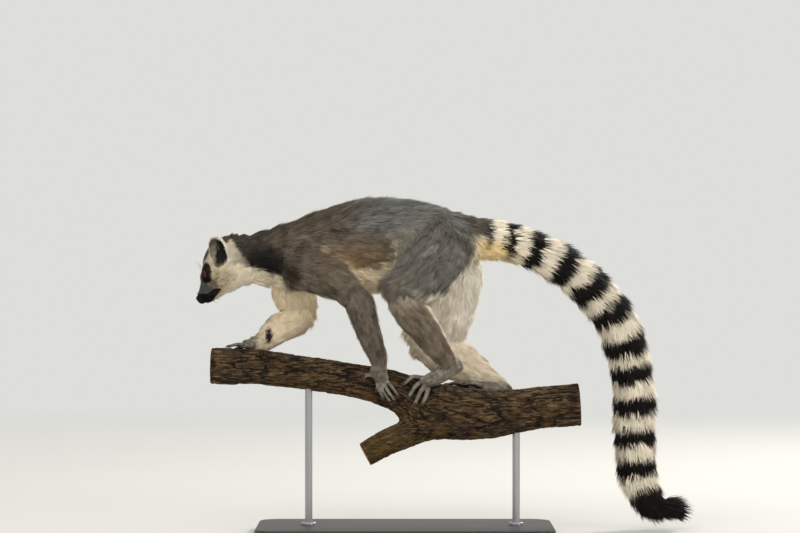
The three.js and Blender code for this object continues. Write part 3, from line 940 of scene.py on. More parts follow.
LIMBS = {
    "upper_arm": Limb(8, (1.2, 1.5), 0.5, 0.34, 0.5),
    "forearm": Limb(-20, (0.95, 1.12), 0.44, 0.24, 0.5),
    "thigh": Limb(30, (0.88, 1.02), 0.2, 0.16, 0.12),
    "shank": Limb(-20, (0.86, 1.04), 0.5, 0.06, 0.42),
}


def limb_marks(side, limb):
    """Grey outside, pale on the inside, and pale along the rear edge."""

    def marks(points, along, aside, above):
        uneven = 0.12 * noise(points, 9, 9) + 0.06 * noise(points, 4, 10)
        inner = smooth(-0.3, 0.12, -side * aside + uneven) * smooth(limb.start, limb.start + 22, along)
        pale = np.maximum(inner, smooth(*limb.edge, above + uneven))
        return pale, limb.dark * (1 - pale), limb.warm + (limb.pale_warm - limb.warm) * pale

    return marks


def hand_marks(points, along, aside, above):
    """Grizzled olive grey, with darker specks."""
    specks = smooth(0.0, 0.6, noise(points, 1.8, 34))
    pale = 0.2 + 0.16 * noise(points, 4, 33)
    return pale, 0.2 + 0.36 * specks, np.full(len(points), 0.3)


# The dark patch of the gland, and the fold at the elbow, whose darkness is painted shade.
GLAND_AND_SHADED_FOLD = [((-184, 16, 267), (3.3, 13, 9.5)), ((-166, 34, 299), (3.5, 9, 3))]  # middle and radii


def gland_and_fold_shade_marks(points):
    """The dark patch on the inside of the right forearm, and painted shade in the fold at its elbow."""
    return np.max([smooth(1.3, 1.0, egg(points, middle, radii)) for middle, radii in GLAND_AND_SHADED_FOLD], axis=0)


# Along the body, and the height of the collar's lower edge.
COLLAR_LINE = ((-205, -176, -165, -155, -146, -125), (359, 354, 350, 340, 336, 330))


def collar_marks(points):
    """The black collar, which runs on from the side of the neck over the front of the shoulder."""
    height = points[:, 2] - np.interp(points[:, 0], *COLLAR_LINE) + 6 * noise(points, 8, 41)
    tall = np.interp(points[:, 0], (-160, -132), (46, 18))
    return smooth(-4, 3, height) * smooth(1, 0.5, height / tall) * smooth(-122, -147, points[:, 0])


MARKS = {"trunk": trunk_marks, "neck": neck_marks, "head": head_marks, "tail": tail_marks}


def marks_of(region):
    if region.name in MARKS:
        return MARKS[region.name]
    if region.kind == "ear":
        return ear_marks(region.side)
    if region.kind in LIMBS:
        return limb_marks(region.side, LIMBS[region.kind])
    return hand_marks


def bareness(points, share, place):
    """Where the skin is bare: under the fingers and toes, in the open part of each ear, and on the lids."""
    bare = np.zeros(len(points))
    for i, region in enumerate(regions):
        if region.coat is COATS["digit"]:
            bare += share[i] * smooth(0.2, 0.6, place[i, :, 2])
    for side, word in SIDES.items():
        ear = NAMES.index(f"ear_{word}")
        open_part = 1 - ear_tufts(side, points, place[ear, :, 0], place[ear, :, 1])
        hollow = smooth(1.2, 0.3, ears[side][1].distance(points))
        bare = np.maximum(bare, 0.9 * open_part * hollow * (share[ear] > 0.01))
    return np.maximum(bare, smooth(1.36, 1.2, lid_measure(points)))


def markings(points, share, place):
    """Pale, dark and warm shares of the coat's colour at points of the skin, and how bare the skin is."""
    total = np.zeros((len(points), 3))
    for i, region in enumerate(regions):
        used = share[i] > 0.01
        if used.any():
            parts = marks_of(region)(points[used], *place[i, used].T)
            total[used] += share[i, used, None] * np.stack(parts, -1)
    # The gland's dark patch, and painted shade in the fold at the elbow.
    gland_and_fold_shade = gland_and_fold_shade_marks(points)
    collar = collar_marks(points) * (1 - share[HEAD_ROW]) * (1 - total[:, 0])
    total[:, 0] *= 1 - gland_and_fold_shade
    total[:, 1] = np.max([total[:, 1], 0.97 * gland_and_fold_shade, 0.95 * collar], axis=0)
    return np.clip(np.column_stack([total, bareness(points, share, place)]), 0, 1)


# ---- the skin
FIXED = ("stand_", "perch_", "eye_", "nose")
FLESH = [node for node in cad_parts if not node.startswith(FIXED)]


def box_of(nodes, spare):
    """The low and high corners of the box round some nodes, with some millimetres to spare."""
    boxes = np.array([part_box(node) for node in nodes]) / MM
    return boxes[:, 0].min(0) - spare, boxes[:, 1].max(0) + spare


def normals_of(points, quads):
    normals = np.zeros_like(points)
    a, b, c, d = (points[quads[:, i]] for i in range(4))
    face = np.cross(c - a, d - b)
    for i in range(4):
        np.add.at(normals, quads[:, i], face)
    return unit(normals)


# ---- the coat
# How many times longer hair is where it is all pale.
LONG_FRINGE = {"trunk": 1.2, "neck": 1.05, "thigh": 1.3, "upper_arm": 1.2, "forearm": 1.35}


def hair_lie(points, normals, share, lie):
    """The way hair lies at points of the skin: backwards, down the limbs, and down the flanks and cheeks."""
    way = np.einsum("rn,rnk->nk", share, lie)
    trunk = share[TRUNK_ROW] + share[NECK_ROW]
    rump = smooth(30, 75, points[:, 0])
    way[:, 2] -= 0.45 * trunk * (1 - np.abs(normals[:, 2])) + 0.5 * share[TRUNK_ROW] * rump
    back, _, across = in_head(points)
    head = share[HEAD_ROW]
    for side, middle in eye_middles.items():
        offset = points - middle
        away = np.linalg.norm(offset, axis=1)
        near = head * np.exp(-away / 11) * (np.sign(across) == side)
        way += unit(offset) * near[:, None] * 1.4
    outward = np.outer(np.sign(across), (0, 1, 0)) * 0.25 - HEAD_UP * 0.15
    way += outward * (head * smooth(30, 60, back))[:, None]
    way += 0.16 * np.stack([noise(points, 26, seed) for seed in (11, 12, 13)], -1)
    way -= normals * dot(way, normals)[:, None]
    return unit(way)


def scatter(points, quads, weight, count, rng):
    """Places spread over the mesh by area and weight: their faces, and their shares of the four corners."""
    a, b, c, d = (points[quads[:, i]] for i in range(4))
    area = np.linalg.norm(np.cross(c - a, d - b), axis=1) / 2
    amount = area * weight[quads].mean(1)
    steps = (np.arange(count) + rng.random(count)) * amount.sum() / count
    face = np.minimum(np.searchsorted(np.cumsum(amount), steps), len(quads) - 1)
    u, v = rng.random((2, count))
    return face, np.stack([(1 - u) * (1 - v), u * (1 - v), u * v, (1 - u) * v], -1)


# A lock has its root, two sides, a ridge between them, and its tip.
LOCK_FACES = np.array([(0, 3, 1), (0, 2, 3), (0, 1, 2), (4, 1, 3), (4, 3, 2), (4, 2, 1)])
LOCK_ALONG = (0.0, 0.4, 0.4, 0.4, 1.0)
LOCK_PATCH = np.array([(0, 0.5), (0.42, 1), (0.42, 0), (0.42, 0.5), (1, 0.5)])
LOCK_ROUND = np.array([0, 0.5, 0.5, 0, 0.25])  # how far the light on each point follows the lock's own form
LOCK_POINTS = len(LOCK_PATCH)
PATCH = 0.003  # size of a lock's patch on the map
CLUMP = {"width": 3.2, "stretch": 0.45, "pull": 0.42, "height": 0.36, "tilt": 0.3}


def clumped(roots, across, nearest, along):
    """How high each lock stands on a clump, and how far it is drawn sideways towards the crest."""
    middles = [region.chain.middle for region in regions]
    heading = np.array([unit(middle[-1] - middle[0]) for middle in middles])[nearest]
    size = np.array([region.coat.width * CLUMP["width"] for region in regions])[nearest, None]
    place = (roots - heading * (along * CLUMP["stretch"])[:, None]) / size

    def crest(at):
        height = 0.9 * noise(at, 1.0, 51) + 0.35 * noise(at, 0.45, 52) + 0.6 * noise(at, 2.3, 53)
        return np.clip(height, -1, 1)

    step = across * 0.3
    pull = crest(place + step) - crest(place - step)
    return crest(place), pull[:, None] * size * CLUMP["pull"]


def grow_locks(roots, normals, way, length, width, height, drawn, rng):
    """Small closed locks. Each runs from its root over a three-sided middle to its tip, along its way."""
    across = np.cross(normals, way)
    lean = rng.normal(0, 0.15, len(roots))
    way = unit(way + across * lean[:, None])
    across = np.cross(normals, way)
    rise = np.minimum(height / length, 0.9)
    run = np.sqrt(1 - rise**2)
    wave = np.stack([noise(roots, 6.5, seed) for seed in (21, 22, 23)], -1)
    wave -= normals * dot(wave, normals)[:, None]
    aside = wave * (0.14 * length)[:, None] + across * drawn
    tips = roots + (way * run[:, None] + normals * rise[:, None]) * length[:, None] + aside
    middles = roots + (way * (run * 0.4)[:, None] + normals * (rise * 0.62)[:, None]) * length[:, None]
    middles += aside * 0.3
    half = across * (width / 2)[:, None]
    ridge = normals * (width * 0.3)[:, None]
    return np.stack([roots, middles + half, middles - half, middles + ridge, tips], 1)


def coat_piece(name, places, locks, normals, marks, shades):
    """One piece of the coat. Each lock has its own small patch of the map, at the place of its root."""
    count = len(locks)
    faces = (np.arange(count)[:, None, None] * LOCK_POINTS + LOCK_FACES).reshape(-1, 3)
    piece = make_object(name, locks.reshape(-1, 3), faces)
    paint(piece, "marking", np.repeat(marks, LOCK_POINTS, axis=0))
    along = np.tile(LOCK_ALONG, count)
    # The strand carries each lock's random tone, the way along it, which the coat paints darker towards the
    # root as shade, and its height on its clump, painted as shade in the troughs and light on the crests.
    own, clump = np.repeat(shades, LOCK_POINTS, axis=0).T
    paint(piece, "strand", np.column_stack([own, along, clump, np.ones(len(along))]))
    spots = (places[:, None] * (1 - PATCH) + LOCK_PATCH * PATCH).reshape(-1, 2)
    layer = piece.data.uv_layers.new(name="OFBake")
    layer.data.foreach_set("uv", spots[faces.ravel()].astype(np.float32).ravel())
    out = unit(locks - locks[:, [3]] + np.array([0, 0, 1e-6]))
    out = np.repeat(normals[:, None], LOCK_POINTS, axis=1) * 0.8 + out * LOCK_ROUND[:, None]
    piece.data.normals_split_custom_set_from_vertices(unit(out).reshape(-1, 3).tolist())
    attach(piece, "root")
    return piece


SEEN = 0.6  # the share of a lock that lies under the next ones, so its colour is that of the place further on


def ear_hair(side, word, points, share):
    """How much of each point is in the hollow of an ear and on its rim, and its place across the ear."""
    chain, bowl = ears[side]
    ear = share[NAMES.index(f"ear_{word}")]
    inside = ear * smooth(1.2, 0.3, bowl.distance(points))
    aside = chain.locate(points.astype(np.float32))[3]
    return inside, ear * smooth(0.7, 0.95, np.abs(aside)) * (1 - inside), aside


def hair_plan(points, normals, marks, share, lie):
    """At points of the skin: how hair lies, its depth, length, width and density, and its marks' shift."""
    way = hair_lie(points, normals, share, lie)
    depth, length, width, density = (
        shared(share, [getattr(region.coat, key) for region in regions])
        for key in ("depth", "length", "width", "density")
    )
    fringe = shared(share, [LONG_FRINGE.get(region.kind, 1.0) for region in regions])
    length *= 1 + (fringe - 1) * marks[:, 0]
    shift = np.full(len(points), SEEN)
    for side, word in SIDES.items():
        inside, rim, aside = ear_hair(side, word, points, share)
        way = unit(way + inside[:, None] * head_way(0.9, 0.4))
        way = unit(way - normals * dot(way, normals)[:, None])
        length += 2.5 * rim * smooth(0.2, -0.2, aside * ear_front(side)) + 3 * inside
        depth += 2.8 * inside
        shift *= 1 - 0.9 * inside
    x = points[:, 0]
    back, up, _ = in_head(points)
    head = share[HEAD_ROW] > 0.5
    face = smooth(62, 20, back) * head
    close = share[TRUNK_ROW] * smooth(15, 60, x) + share[NECK_ROW] * smooth(-200, -220, x)
    nape = smooth(-205, -213, x) * smooth(82, 92, back) * smooth(-5, 5, up)
    base = share[TAIL_ROW] * smooth(150, 95, x)
    length *= (1 - 0.45 * face) * (1 - 0.3 * close) * (1 - 0.3 * base)
    depth *= (1 - 0.35 * close) * (1 - 0.6 * nape) * (1 - 0.5 * base)
    width *= 1 - 0.3 * face
    density = density * (1 + 0.5 * face) * (1 - smooth(0.3, 0.8, marks[:, 3]))
    density = density * np.where(head & (back < 7), 0, 1)
    return way, depth, length, width, density, shift


def coat_map(nearest, along, aside, above):
    """Places on a group's map: each region has a band, with its length up the band and its girth across."""
    used, band = np.unique(nearest, return_inverse=True)
    reach = np.array([region.chain.length for region in regions])[nearest]
    v = (band + 0.02 + 0.96 * np.clip((along / reach + 0.15) / 1.3, 0, 1)) / len(used)
    return np.arctan2(above, aside) / (2 * np.pi) + 0.5, v


def coat_pieces(nearest, place, *parts_of_locks):
    """The locks as pieces, group by group. Each piece spreads its own stretch of the body over its map."""
    group_of = np.array([region.group for region in regions])[nearest]
    made = []
    for group in sorted(set(group_of)):
        member = np.nonzero(group_of == group)[0]
        u, v = coat_map(nearest[member], *place[member].T)
        order = np.argsort(v, kind="stable")
        for k, part in enumerate(np.array_split(order, math.ceil(len(order) / TUFTS_IN_PIECE))):
            spread = (v[part] - v[part].min()) / (v[part].max() - v[part].min())
            spots = np.column_stack([u[part], spread])
            parts = (values[member[part]] for values in parts_of_locks)
            piece = coat_piece(f"coat_{group}_{k + 1}", spots, *parts)
            made.append(piece)
    return made


def make_coat(points, quads, marks, share, lie):
    """All the coat, group by group, and the markings of the skin that shows through it."""
    rng = np.random.default_rng(SEED)
    normals = normals_of(points, quads)
    way, depth, length, width, density, shift = hair_plan(points, normals, marks, share, lie)
    face_ids, corners = scatter(points, quads, density, TUFTS, rng)

    def at_roots(values):
        return np.einsum("nk,nk...->n...", corners, values[quads[face_ids]])

    roots, root_normals, ways = at_roots(points), unit(at_roots(normals)), unit(at_roots(way))
    heights, lengths, widths = (at_roots(values) for values in (depth, length, width))
    _, nearest, place, _ = survey(roots)
    place = place[nearest, np.arange(TUFTS)]
    seen = roots + ways * (at_roots(shift) * lengths)[:, None]
    lock_marks = markings(seen, *survey(seen)[::2])
    covered = points + way * (0.5 * shift * length)[:, None]
    under = np.column_stack([markings(covered, *survey(covered)[::2])[:, :3], marks[:, 3]])
    across = np.cross(root_normals, ways)
    crest, drawn = clumped(roots, across, nearest, place[:, 0])
    lengths *= rng.uniform(0.82, 1.18, TUFTS)
    heights = heights * rng.uniform(0.8, 1.1, TUFTS) * lengths / np.maximum(at_roots(length), 0.1)
    heights *= 1 + CLUMP["height"] * crest
    widths *= rng.uniform(0.8, 1.25, TUFTS)
    locks = grow_locks(roots - root_normals * 0.5, root_normals, ways, lengths, widths, heights, drawn, rng)
    # Each lock's random tone, and its height on its clump, which the coat paints as shade and light.
    shades = np.column_stack([rng.random(TUFTS), 0.5 + 0.5 * crest])
    lit_normals = unit(root_normals - across * drawn * CLUMP["tilt"])
    return coat_pieces(nearest, place, locks, lit_normals, lock_marks, shades), under


# ---- small forms
def circle(around):
    """Points all round a circle of radius 1."""
    turn = np.arange(around) * 2 * np.pi / around
    return np.column_stack([np.cos(turn), np.sin(turn)])


def tube_faces(rings, around):
    """The triangles of a tube made of rings of points. The two points after the last ring close its ends."""
    faces = []
    for i in range(rings - 1):
        for j in range(around):
            a, b = i * around + j, i * around + (j + 1) % around
            faces += [(a, b, b + around), (a, b + around, a + around)]
    last, start = (rings - 1) * around, rings * around
    for j in range(around):
        k = (j + 1) % around
        faces += [(start, k, j), (start + 1, last + j, last + k)]
    return np.array(faces)


def sweep(chain, around):
    """A closed tube of triangles along a chain, drawn to a point at both ends."""
    cos, sin = circle(around).T
    ring = chain.side[:, None] * (chain.half[:, :1] * cos)[..., None]
    ring = ring + chain.up[:, None] * (chain.half[:, 1:] * sin)[..., None]
    rings = (chain.middle[:, None] + ring).reshape(-1, 3)
    ends = [
        chain.middle[0] - chain.tangent[0] * chain.half[0].min() * 0.6,
        chain.middle[-1] + chain.tangent[-1] * chain.half[-1].min() * 0.9,
    ]
    return np.vstack([rings, ends]), tube_faces(len(chain.middle), around)


def joined(name, parts):
    """One object from several lists of points and triangles."""
    start, points, faces = 0, [], []
    for part_points, part_faces in parts:
        points.append(part_points)
        faces.append(part_faces + start)
        start += len(part_points)
    return make_object(name, np.vstack(points), np.vstack(faces))


IRIS = {"pupil": 0.4, "edge": 0.74}  # angles from the gaze, in radians
CORNEA = 0.55  # how high it stands over the eyeball


def make_eye(side, steps=40, around=64):
    """An eyeball with a raised cornea. Its rings run round the gaze, and it carries the angle from it."""
    across, up = eye_frame(side)
    middle, gaze = eye_middles[side], gazes[side]
    angle = np.arange(1, steps)[:, None] * np.pi / steps
    cos, sin = circle(around).T
    radius = EYE["radius"] + CORNEA * smooth(0.95, 0.2, angle)
    way = gaze * np.cos(angle)[..., None]
    way = way + (across * cos[:, None] + up * sin[:, None]) * np.sin(angle)[..., None]
    rings = (middle + way * radius[..., None]).reshape(-1, 3)
    points = np.vstack([rings, middle + gaze * (EYE["radius"] + CORNEA), middle - gaze * EYE["radius"]])
    faces = tube_faces(len(angle), around)
    a, b, c = points[faces[0]]
    outward = dot(np.cross(b - a, c - a), a - middle)
    piece = make_object(f"eyeball_{SIDES[side]}", points, faces if outward > 0 else faces[:, ::-1])
    values = np.zeros((len(points), 4))
    values[:-2, :2] = np.tile(circle(around), (len(angle), 1))
    values[:-2, 2] = np.repeat(angle.ravel(), around)
    values[-1, 2] = np.pi
    values[:, 3] = 1
    paint(piece, "iris", values)
    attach(piece, "root")
    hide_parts(f"eye_{SIDES[side]}")
    return piece


NOSE = {  # the middle and radii of each form: back, above and aside
    "pad": ((5.0, -1.4, 0), (4.2, 3.3, 4.0)),
    "stem": ((5.4, -7, 0), (3.2, 4.5, 1.5)),
    "hole": ((2.2, -2.1, 2.9), (2.6, 1.15, 1.35)),
    "curl": ((3.6, -1.7, 5.0), (2.0, 0.75, 1.9)),
    "groove": ((-0.2, -4, 0), (1.0, 6, 0.42)),
}
NOSE_WING = ((5.0, -2.2, 3.3), 2.3)


def make_nose():
    """The nose leather: a pad over the muzzle's end, with a groove between nostrils that curl outwards."""

    def form(points):
        back, up, across = in_head(points)
        places = np.stack([back, up, np.abs(across)], -1)
        pad, stem, hole, curl, groove = (egg(places, *shape) - 1 for shape in NOSE.values())
        whole = blend(blend(pad * 3.3, ball(places, *NOSE_WING), 1.6), stem * 1.5, 1.4)
        return np.maximum(whole, -np.min([hole * 1.1, curl * 0.7, groove * 0.4], axis=0))

    middle = head_point(4.5, -3.5)
    points, quads = surface_of(form, middle - 12, middle + 12, GRAINS["nose"])
    piece = make_object("nose_leather", points, quads)
    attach(piece, "root")
    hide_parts("nose")
    return piece


WHISKERS = [
    # back, above and aside of the root, the way out (back, up, aside), and length
    (13, -5.5, 6, (0.25, -0.05, 1.0), 16),
    (15, -8, 7, (0.4, -0.25, 1.0), 18),
    (17, -6, 8, (0.5, 0.0, 1.0), 20),
    (18, -9.5, 8, (0.5, -0.4, 1.0), 21),
    (21, -8, 9, (0.7, -0.2, 1.0), 23),
    (22, -11, 9, (0.6, -0.5, 0.9), 20),
    (12, -8.5, 6, (0.2, -0.5, 0.9), 13),
    (14, -17, 4, (0.1, -1.0, 0.35), 9),
    (19, -19, 5, (0.4, -1.0, 0.4), 10),
    (36, 21, 11, (-0.1, 1.0, 0.5), 12),
    (39, 23, 12, (0.15, 1.0, 0.6), 14),
    (52, -6, 28, (0.5, -0.5, 1.0), 11),
    (55, -12, 28, (0.6, -0.6, 0.9), 10),
]
WHISKER_SIZES = (0.17, 0.13, 0.04)  # half widths at the root, the bend and the tip


def make_whiskers():
    """Whiskers on the lips, chin, brow and cheeks. Each leaves the skin straight and droops past its bend."""
    parts = []
    rng = np.random.default_rng(SEED + 1)
    for side in SIDES:
        for back, up, aside, (way_back, way_up, way_aside), length in WHISKERS:
            root = head_point(back, up, side * aside)
            out = unit(head_way(way_back, way_up, side * way_aside))
            out = unit(out + rng.normal(0, 0.07, 3))
            steps = root + np.arange(-6, 12, 0.25)[:, None] * out
            inside = head_form(steps) <= 0
            start = steps[np.nonzero(inside)[0].max()] if inside.any() else root
            droop = unit(out - HEAD_FORWARD * 0.35 - np.array([0, 0, 0.3]))
            bend = start + out * length * 0.5
            tip = bend + droop * length * 0.5
            sections = [(*point, size, size) for point, size in zip((start - out, bend, tip), WHISKER_SIZES)]
            parts.append(sweep(Chain(sections, across=np.cross(out, HEAD_UP), spacing=3), 5))
    piece = joined("whiskers", parts)
    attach(piece, "root")
    return piece


def make_nails():
    """A small curved nail over the end of each finger and toe."""
    parts = []
    for part in HANDS_AND_FEET.values():
        for way, radius in part["digits"]:
            (_, _, joint, tip), across = digit_line(way)
            out = on_branch(way[2])[1]
            ahead = unit(tip - joint)
            root = tip - ahead * radius * 0.55 + out * radius * 0.5
            middle = tip + ahead * radius * 0.35 + out * radius * 0.42
            end = tip + ahead * radius * 1.15 + out * radius * 0.02
            wide = radius * 0.5
            sections = [(*root, wide * 0.7, 0.5), (*middle, wide, 0.6), (*end, wide * 0.35, 0.35)]
            parts.append(sweep(Chain(sections, across=across, spacing=0.8), 12))
    piece = joined("nails", parts)
    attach(piece, "root")
    return piece


# ---- the perch
def lengthened(sections, by):
    """The sections with one more at each end, in line with them."""
    table = np.array(sections, float)
    first, last = table[0].copy(), table[-1].copy()
    first[:3] += unit(table[0, :3] - table[1, :3]) * by
    last[:3] += unit(table[-1, :3] - table[-2, :3]) * by
    return np.vstack([first, table, last])


PITH_SPAN = 40  # distance from the pith that counts as 1
BARK_WIDTH = 24.0  # of the pattern, for each half width of the wood
FORK_BARK = 0.8  # height of the fork's bark, of that on the branch
FORK_SUNK = 20  # how far the fork's bark runs on into the branch


def bark_of(chain, points, seed):
    """Bark round a chain: its distance, how high it stands, and its ridges. Cracks run along the wood."""
    distance, _, along, aside, above = chain.locate(points.astype(np.float32))
    place = np.stack([along / 8, aside * BARK_WIDTH, above * BARK_WIDTH], -1)
    bent = place + np.stack([noise(points, 12, seed + k) for k in range(3)], -1) * (0.6, 1.6, 1.6)
    furrow = np.abs(noise(bent, 4.6, seed + 4) + 0.3 * noise(bent * (2, 1, 1), 2.4, seed + 6))
    crack = np.abs(noise(bent * (3, 1, 1), 3.6, seed + 5))
    ridge = smooth(0.0, 0.3, furrow) * (0.6 + 0.4 * smooth(0.0, 0.25, crack))
    height = 2.2 * (ridge - 0.85) + 0.5 * noise(points, 2.6, seed + 8) + 1.3 * noise(points, 26, seed + 7)
    return distance, height, ridge


def make_bark():
    """The branch and the stub of its fork, sawn off square."""
    long_branch, long_fork = Chain(lengthened(BRANCH, 20)), Chain(lengthened(FORK, 16))
    ends = [
        (branch_chain.middle[0], -branch_chain.tangent[0]),
        (branch_chain.middle[-1], branch_chain.tangent[-1]),
    ]
    fork_start, fork_bend, fork_end = (np.array(FORK[i][:3], float) for i in (0, -2, -1))
    fork_way = unit(fork_end - fork_bend)

    def parts(points):
        """Distances from the branch, the fork and their cuts, the ridges, and where the branch is nearer."""
        branch, height, ridge = bark_of(long_branch, points, 40)
        fork, fork_height, fork_ridge = bark_of(long_fork, points, 60)
        branch = branch - height
        fork = fork - fork_height * FORK_BARK
        cuts = [dot(points - middle, way) for middle, way in ends]
        fork_cut = dot(points - fork_end, fork_way)
        nearer = branch < fork
        return branch, fork, cuts, fork_cut, np.where(nearer, ridge, fork_ridge), nearer

    def form(points):
        branch, fork, cuts, fork_cut, _, _ = parts(points)
        fork = np.maximum(fork, fork_cut)
        fork = np.where(dot(points - fork_start, fork_way) < -FORK_SUNK, Chain.FAR, fork)
        return np.max([blend(branch, fork, 12), *cuts], axis=0)

    points, quads = surface_of(form, *box_of(("perch_branch", "perch_fork"), 5), GRAINS["bark"])
    branch, fork, cuts, fork_cut, ridge, nearer = parts(points)
    sawn = np.max([smooth(-0.9, -0.2, cut) for cut in cuts], axis=0)
    sawn = np.maximum(sawn, smooth(-0.9, -0.2, fork_cut) * ~nearer)
    sawn = sawn * smooth(-1.0, -2.6, np.where(nearer, branch, fork))
    from_pith = np.zeros(len(points))
    for chain, chosen in ((long_branch, nearer), (long_fork, ~nearer)):
        _, nearest, _, aside, above = chain.locate(points[chosen].astype(np.float32))
        half = chain.half[nearest]
        from_pith[chosen] = np.hypot(aside * half[:, 0], above * half[:, 1])
    above = branch_chain.locate(points.astype(np.float32))[4]
    lichen = smooth(0.2, 1.0, noise(points, 24, 80) + 0.5 * noise(points, 7, 81) - 0.6 * above - 0.1)
    piece = make_object("branch_bark", points, quads)
    paint(piece, "bark", np.column_stack([ridge, lichen, sawn, from_pith / PITH_SPAN]))
    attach(piece, "root")
    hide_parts("perch_branch", "perch_fork")
    return piece


# ---- the stand
BOARD = {"corner": 30, "bevel": 2.2, "around": 14, "steps": 5}
COLLAR = {"radius": 10, "height": 4, "sunk": 1, "bevel": 1.2, "around": 40, "steps": 4}


def plate(outline, low, high, bevel, steps):
    """A closed plate of triangles with rounded edges. The outline gives its edge drawn in by a distance."""
    rings = []
    for height, turn in ((low, -1), (high, 1)):
        for k in range(steps + 1):
            angle = (k if turn > 0 else steps - k) / steps * np.pi / 2
            edge = outline(bevel * (1 - math.cos(angle)))
            z = height - turn * bevel * (1 - math.sin(angle))
            rings.append(np.column_stack([edge, np.full(len(edge), z)]))
    points = np.vstack([*rings, rings[0].mean(0), rings[-1].mean(0)])
    return points, tube_faces(len(rings), len(rings[0]))


def make_board():
    low, high = (np.array(corner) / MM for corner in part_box("stand_base"))
    straight = (high - low)[:2] / 2 - BOARD["corner"]

    def edge(inset):
        rows = []
        for quarter, way in enumerate(((1, 1), (-1, 1), (-1, -1), (1, -1))):
            turn = (quarter + np.arange(BOARD["around"] + 1) / BOARD["around"]) * np.pi / 2
            arc = np.column_stack([np.cos(turn), np.sin(turn)])
            rows.append(straight * way + (BOARD["corner"] - inset) * arc)
        return np.vstack(rows)

    board = make_object("stand_board", *plate(edge, low[2], high[2], BOARD["bevel"], BOARD["steps"]))
    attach(board, "root")
    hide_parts("stand_base")
    return board


def make_collars():
    """A low round collar where each rod stands in the board."""
    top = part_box("stand_base")[1][2] / MM
    low, high = top - COLLAR["sunk"], top + COLLAR["height"]
    parts = []
    for node in ("stand_rod_front", "stand_rod_back"):
        middle = (np.array(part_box(node)) / MM).mean(0)[:2]

        def edge(inset, middle=middle):
            return middle + (COLLAR["radius"] - inset) * circle(COLLAR["around"])

        parts.append(plate(edge, low, high, COLLAR["bevel"], COLLAR["steps"]))
    collars = joined("stand_collars", parts)
    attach(collars, "root")
    return collars


# ---- finishes
def tone(red, green, blue):
    """A colour given by how it looks on a screen, 0 to 255, as light."""
    return [((v / 255 + 0.055) / 1.055) ** 2.4 if v > 10 else v / 255 / 12.92 for v in (red, green, blue)]


def joins(operation, turned=False):
    def method(self, other):
        return self.nodes.math(operation, *((other, self) if turned else (self, other)))

    return method


class Signal:
    """A number that varies over a surface. Arithmetic with it adds Math nodes."""

    def __init__(self, nodes, socket):
        self.nodes, self.socket = nodes, socket

    __add__ = __radd__ = joins("ADD")
    __mul__ = __rmul__ = joins("MULTIPLY")
    __sub__, __rsub__ = joins("SUBTRACT"), joins("SUBTRACT", True)

    def between(self, low, high):
        """0 at low and 1 at high, in a straight line between them."""
        made = self.nodes.add("ShaderNodeMapRange", {"Value": self, "From Min": low, "From Max": high})
        return Signal(self.nodes, made.outputs[0])


class Nodes:
    """The nodes of a material or of the world."""

    def __init__(self, tree):
        self.tree = tree

    def add(self, kind, inputs=None, **settings):
        """Any node: its settings first, then the values or links of its sockets."""
        made = self.tree.nodes.new(kind)
        for key, value in settings.items():
            setattr(made, key, value)
        self.feed(made, inputs or {})
        return made

    def feed(self, node, inputs):
        for key, value in inputs.items():
            socket = node.inputs[key]
            if isinstance(value, Signal):
                self.tree.links.new(value.socket, socket)
            elif isinstance(value, bpy.types.NodeSocket):
                self.tree.links.new(value, socket)
            elif isinstance(value, (list, tuple)) and socket.type == "RGBA":
                socket.default_value = (*value, 1)
            else:
                socket.default_value = value

    def math(self, operation, a, b=0.0):
        return Signal(self, self.add("ShaderNodeMath", {0: a, 1: b}, operation=operation).outputs[0])


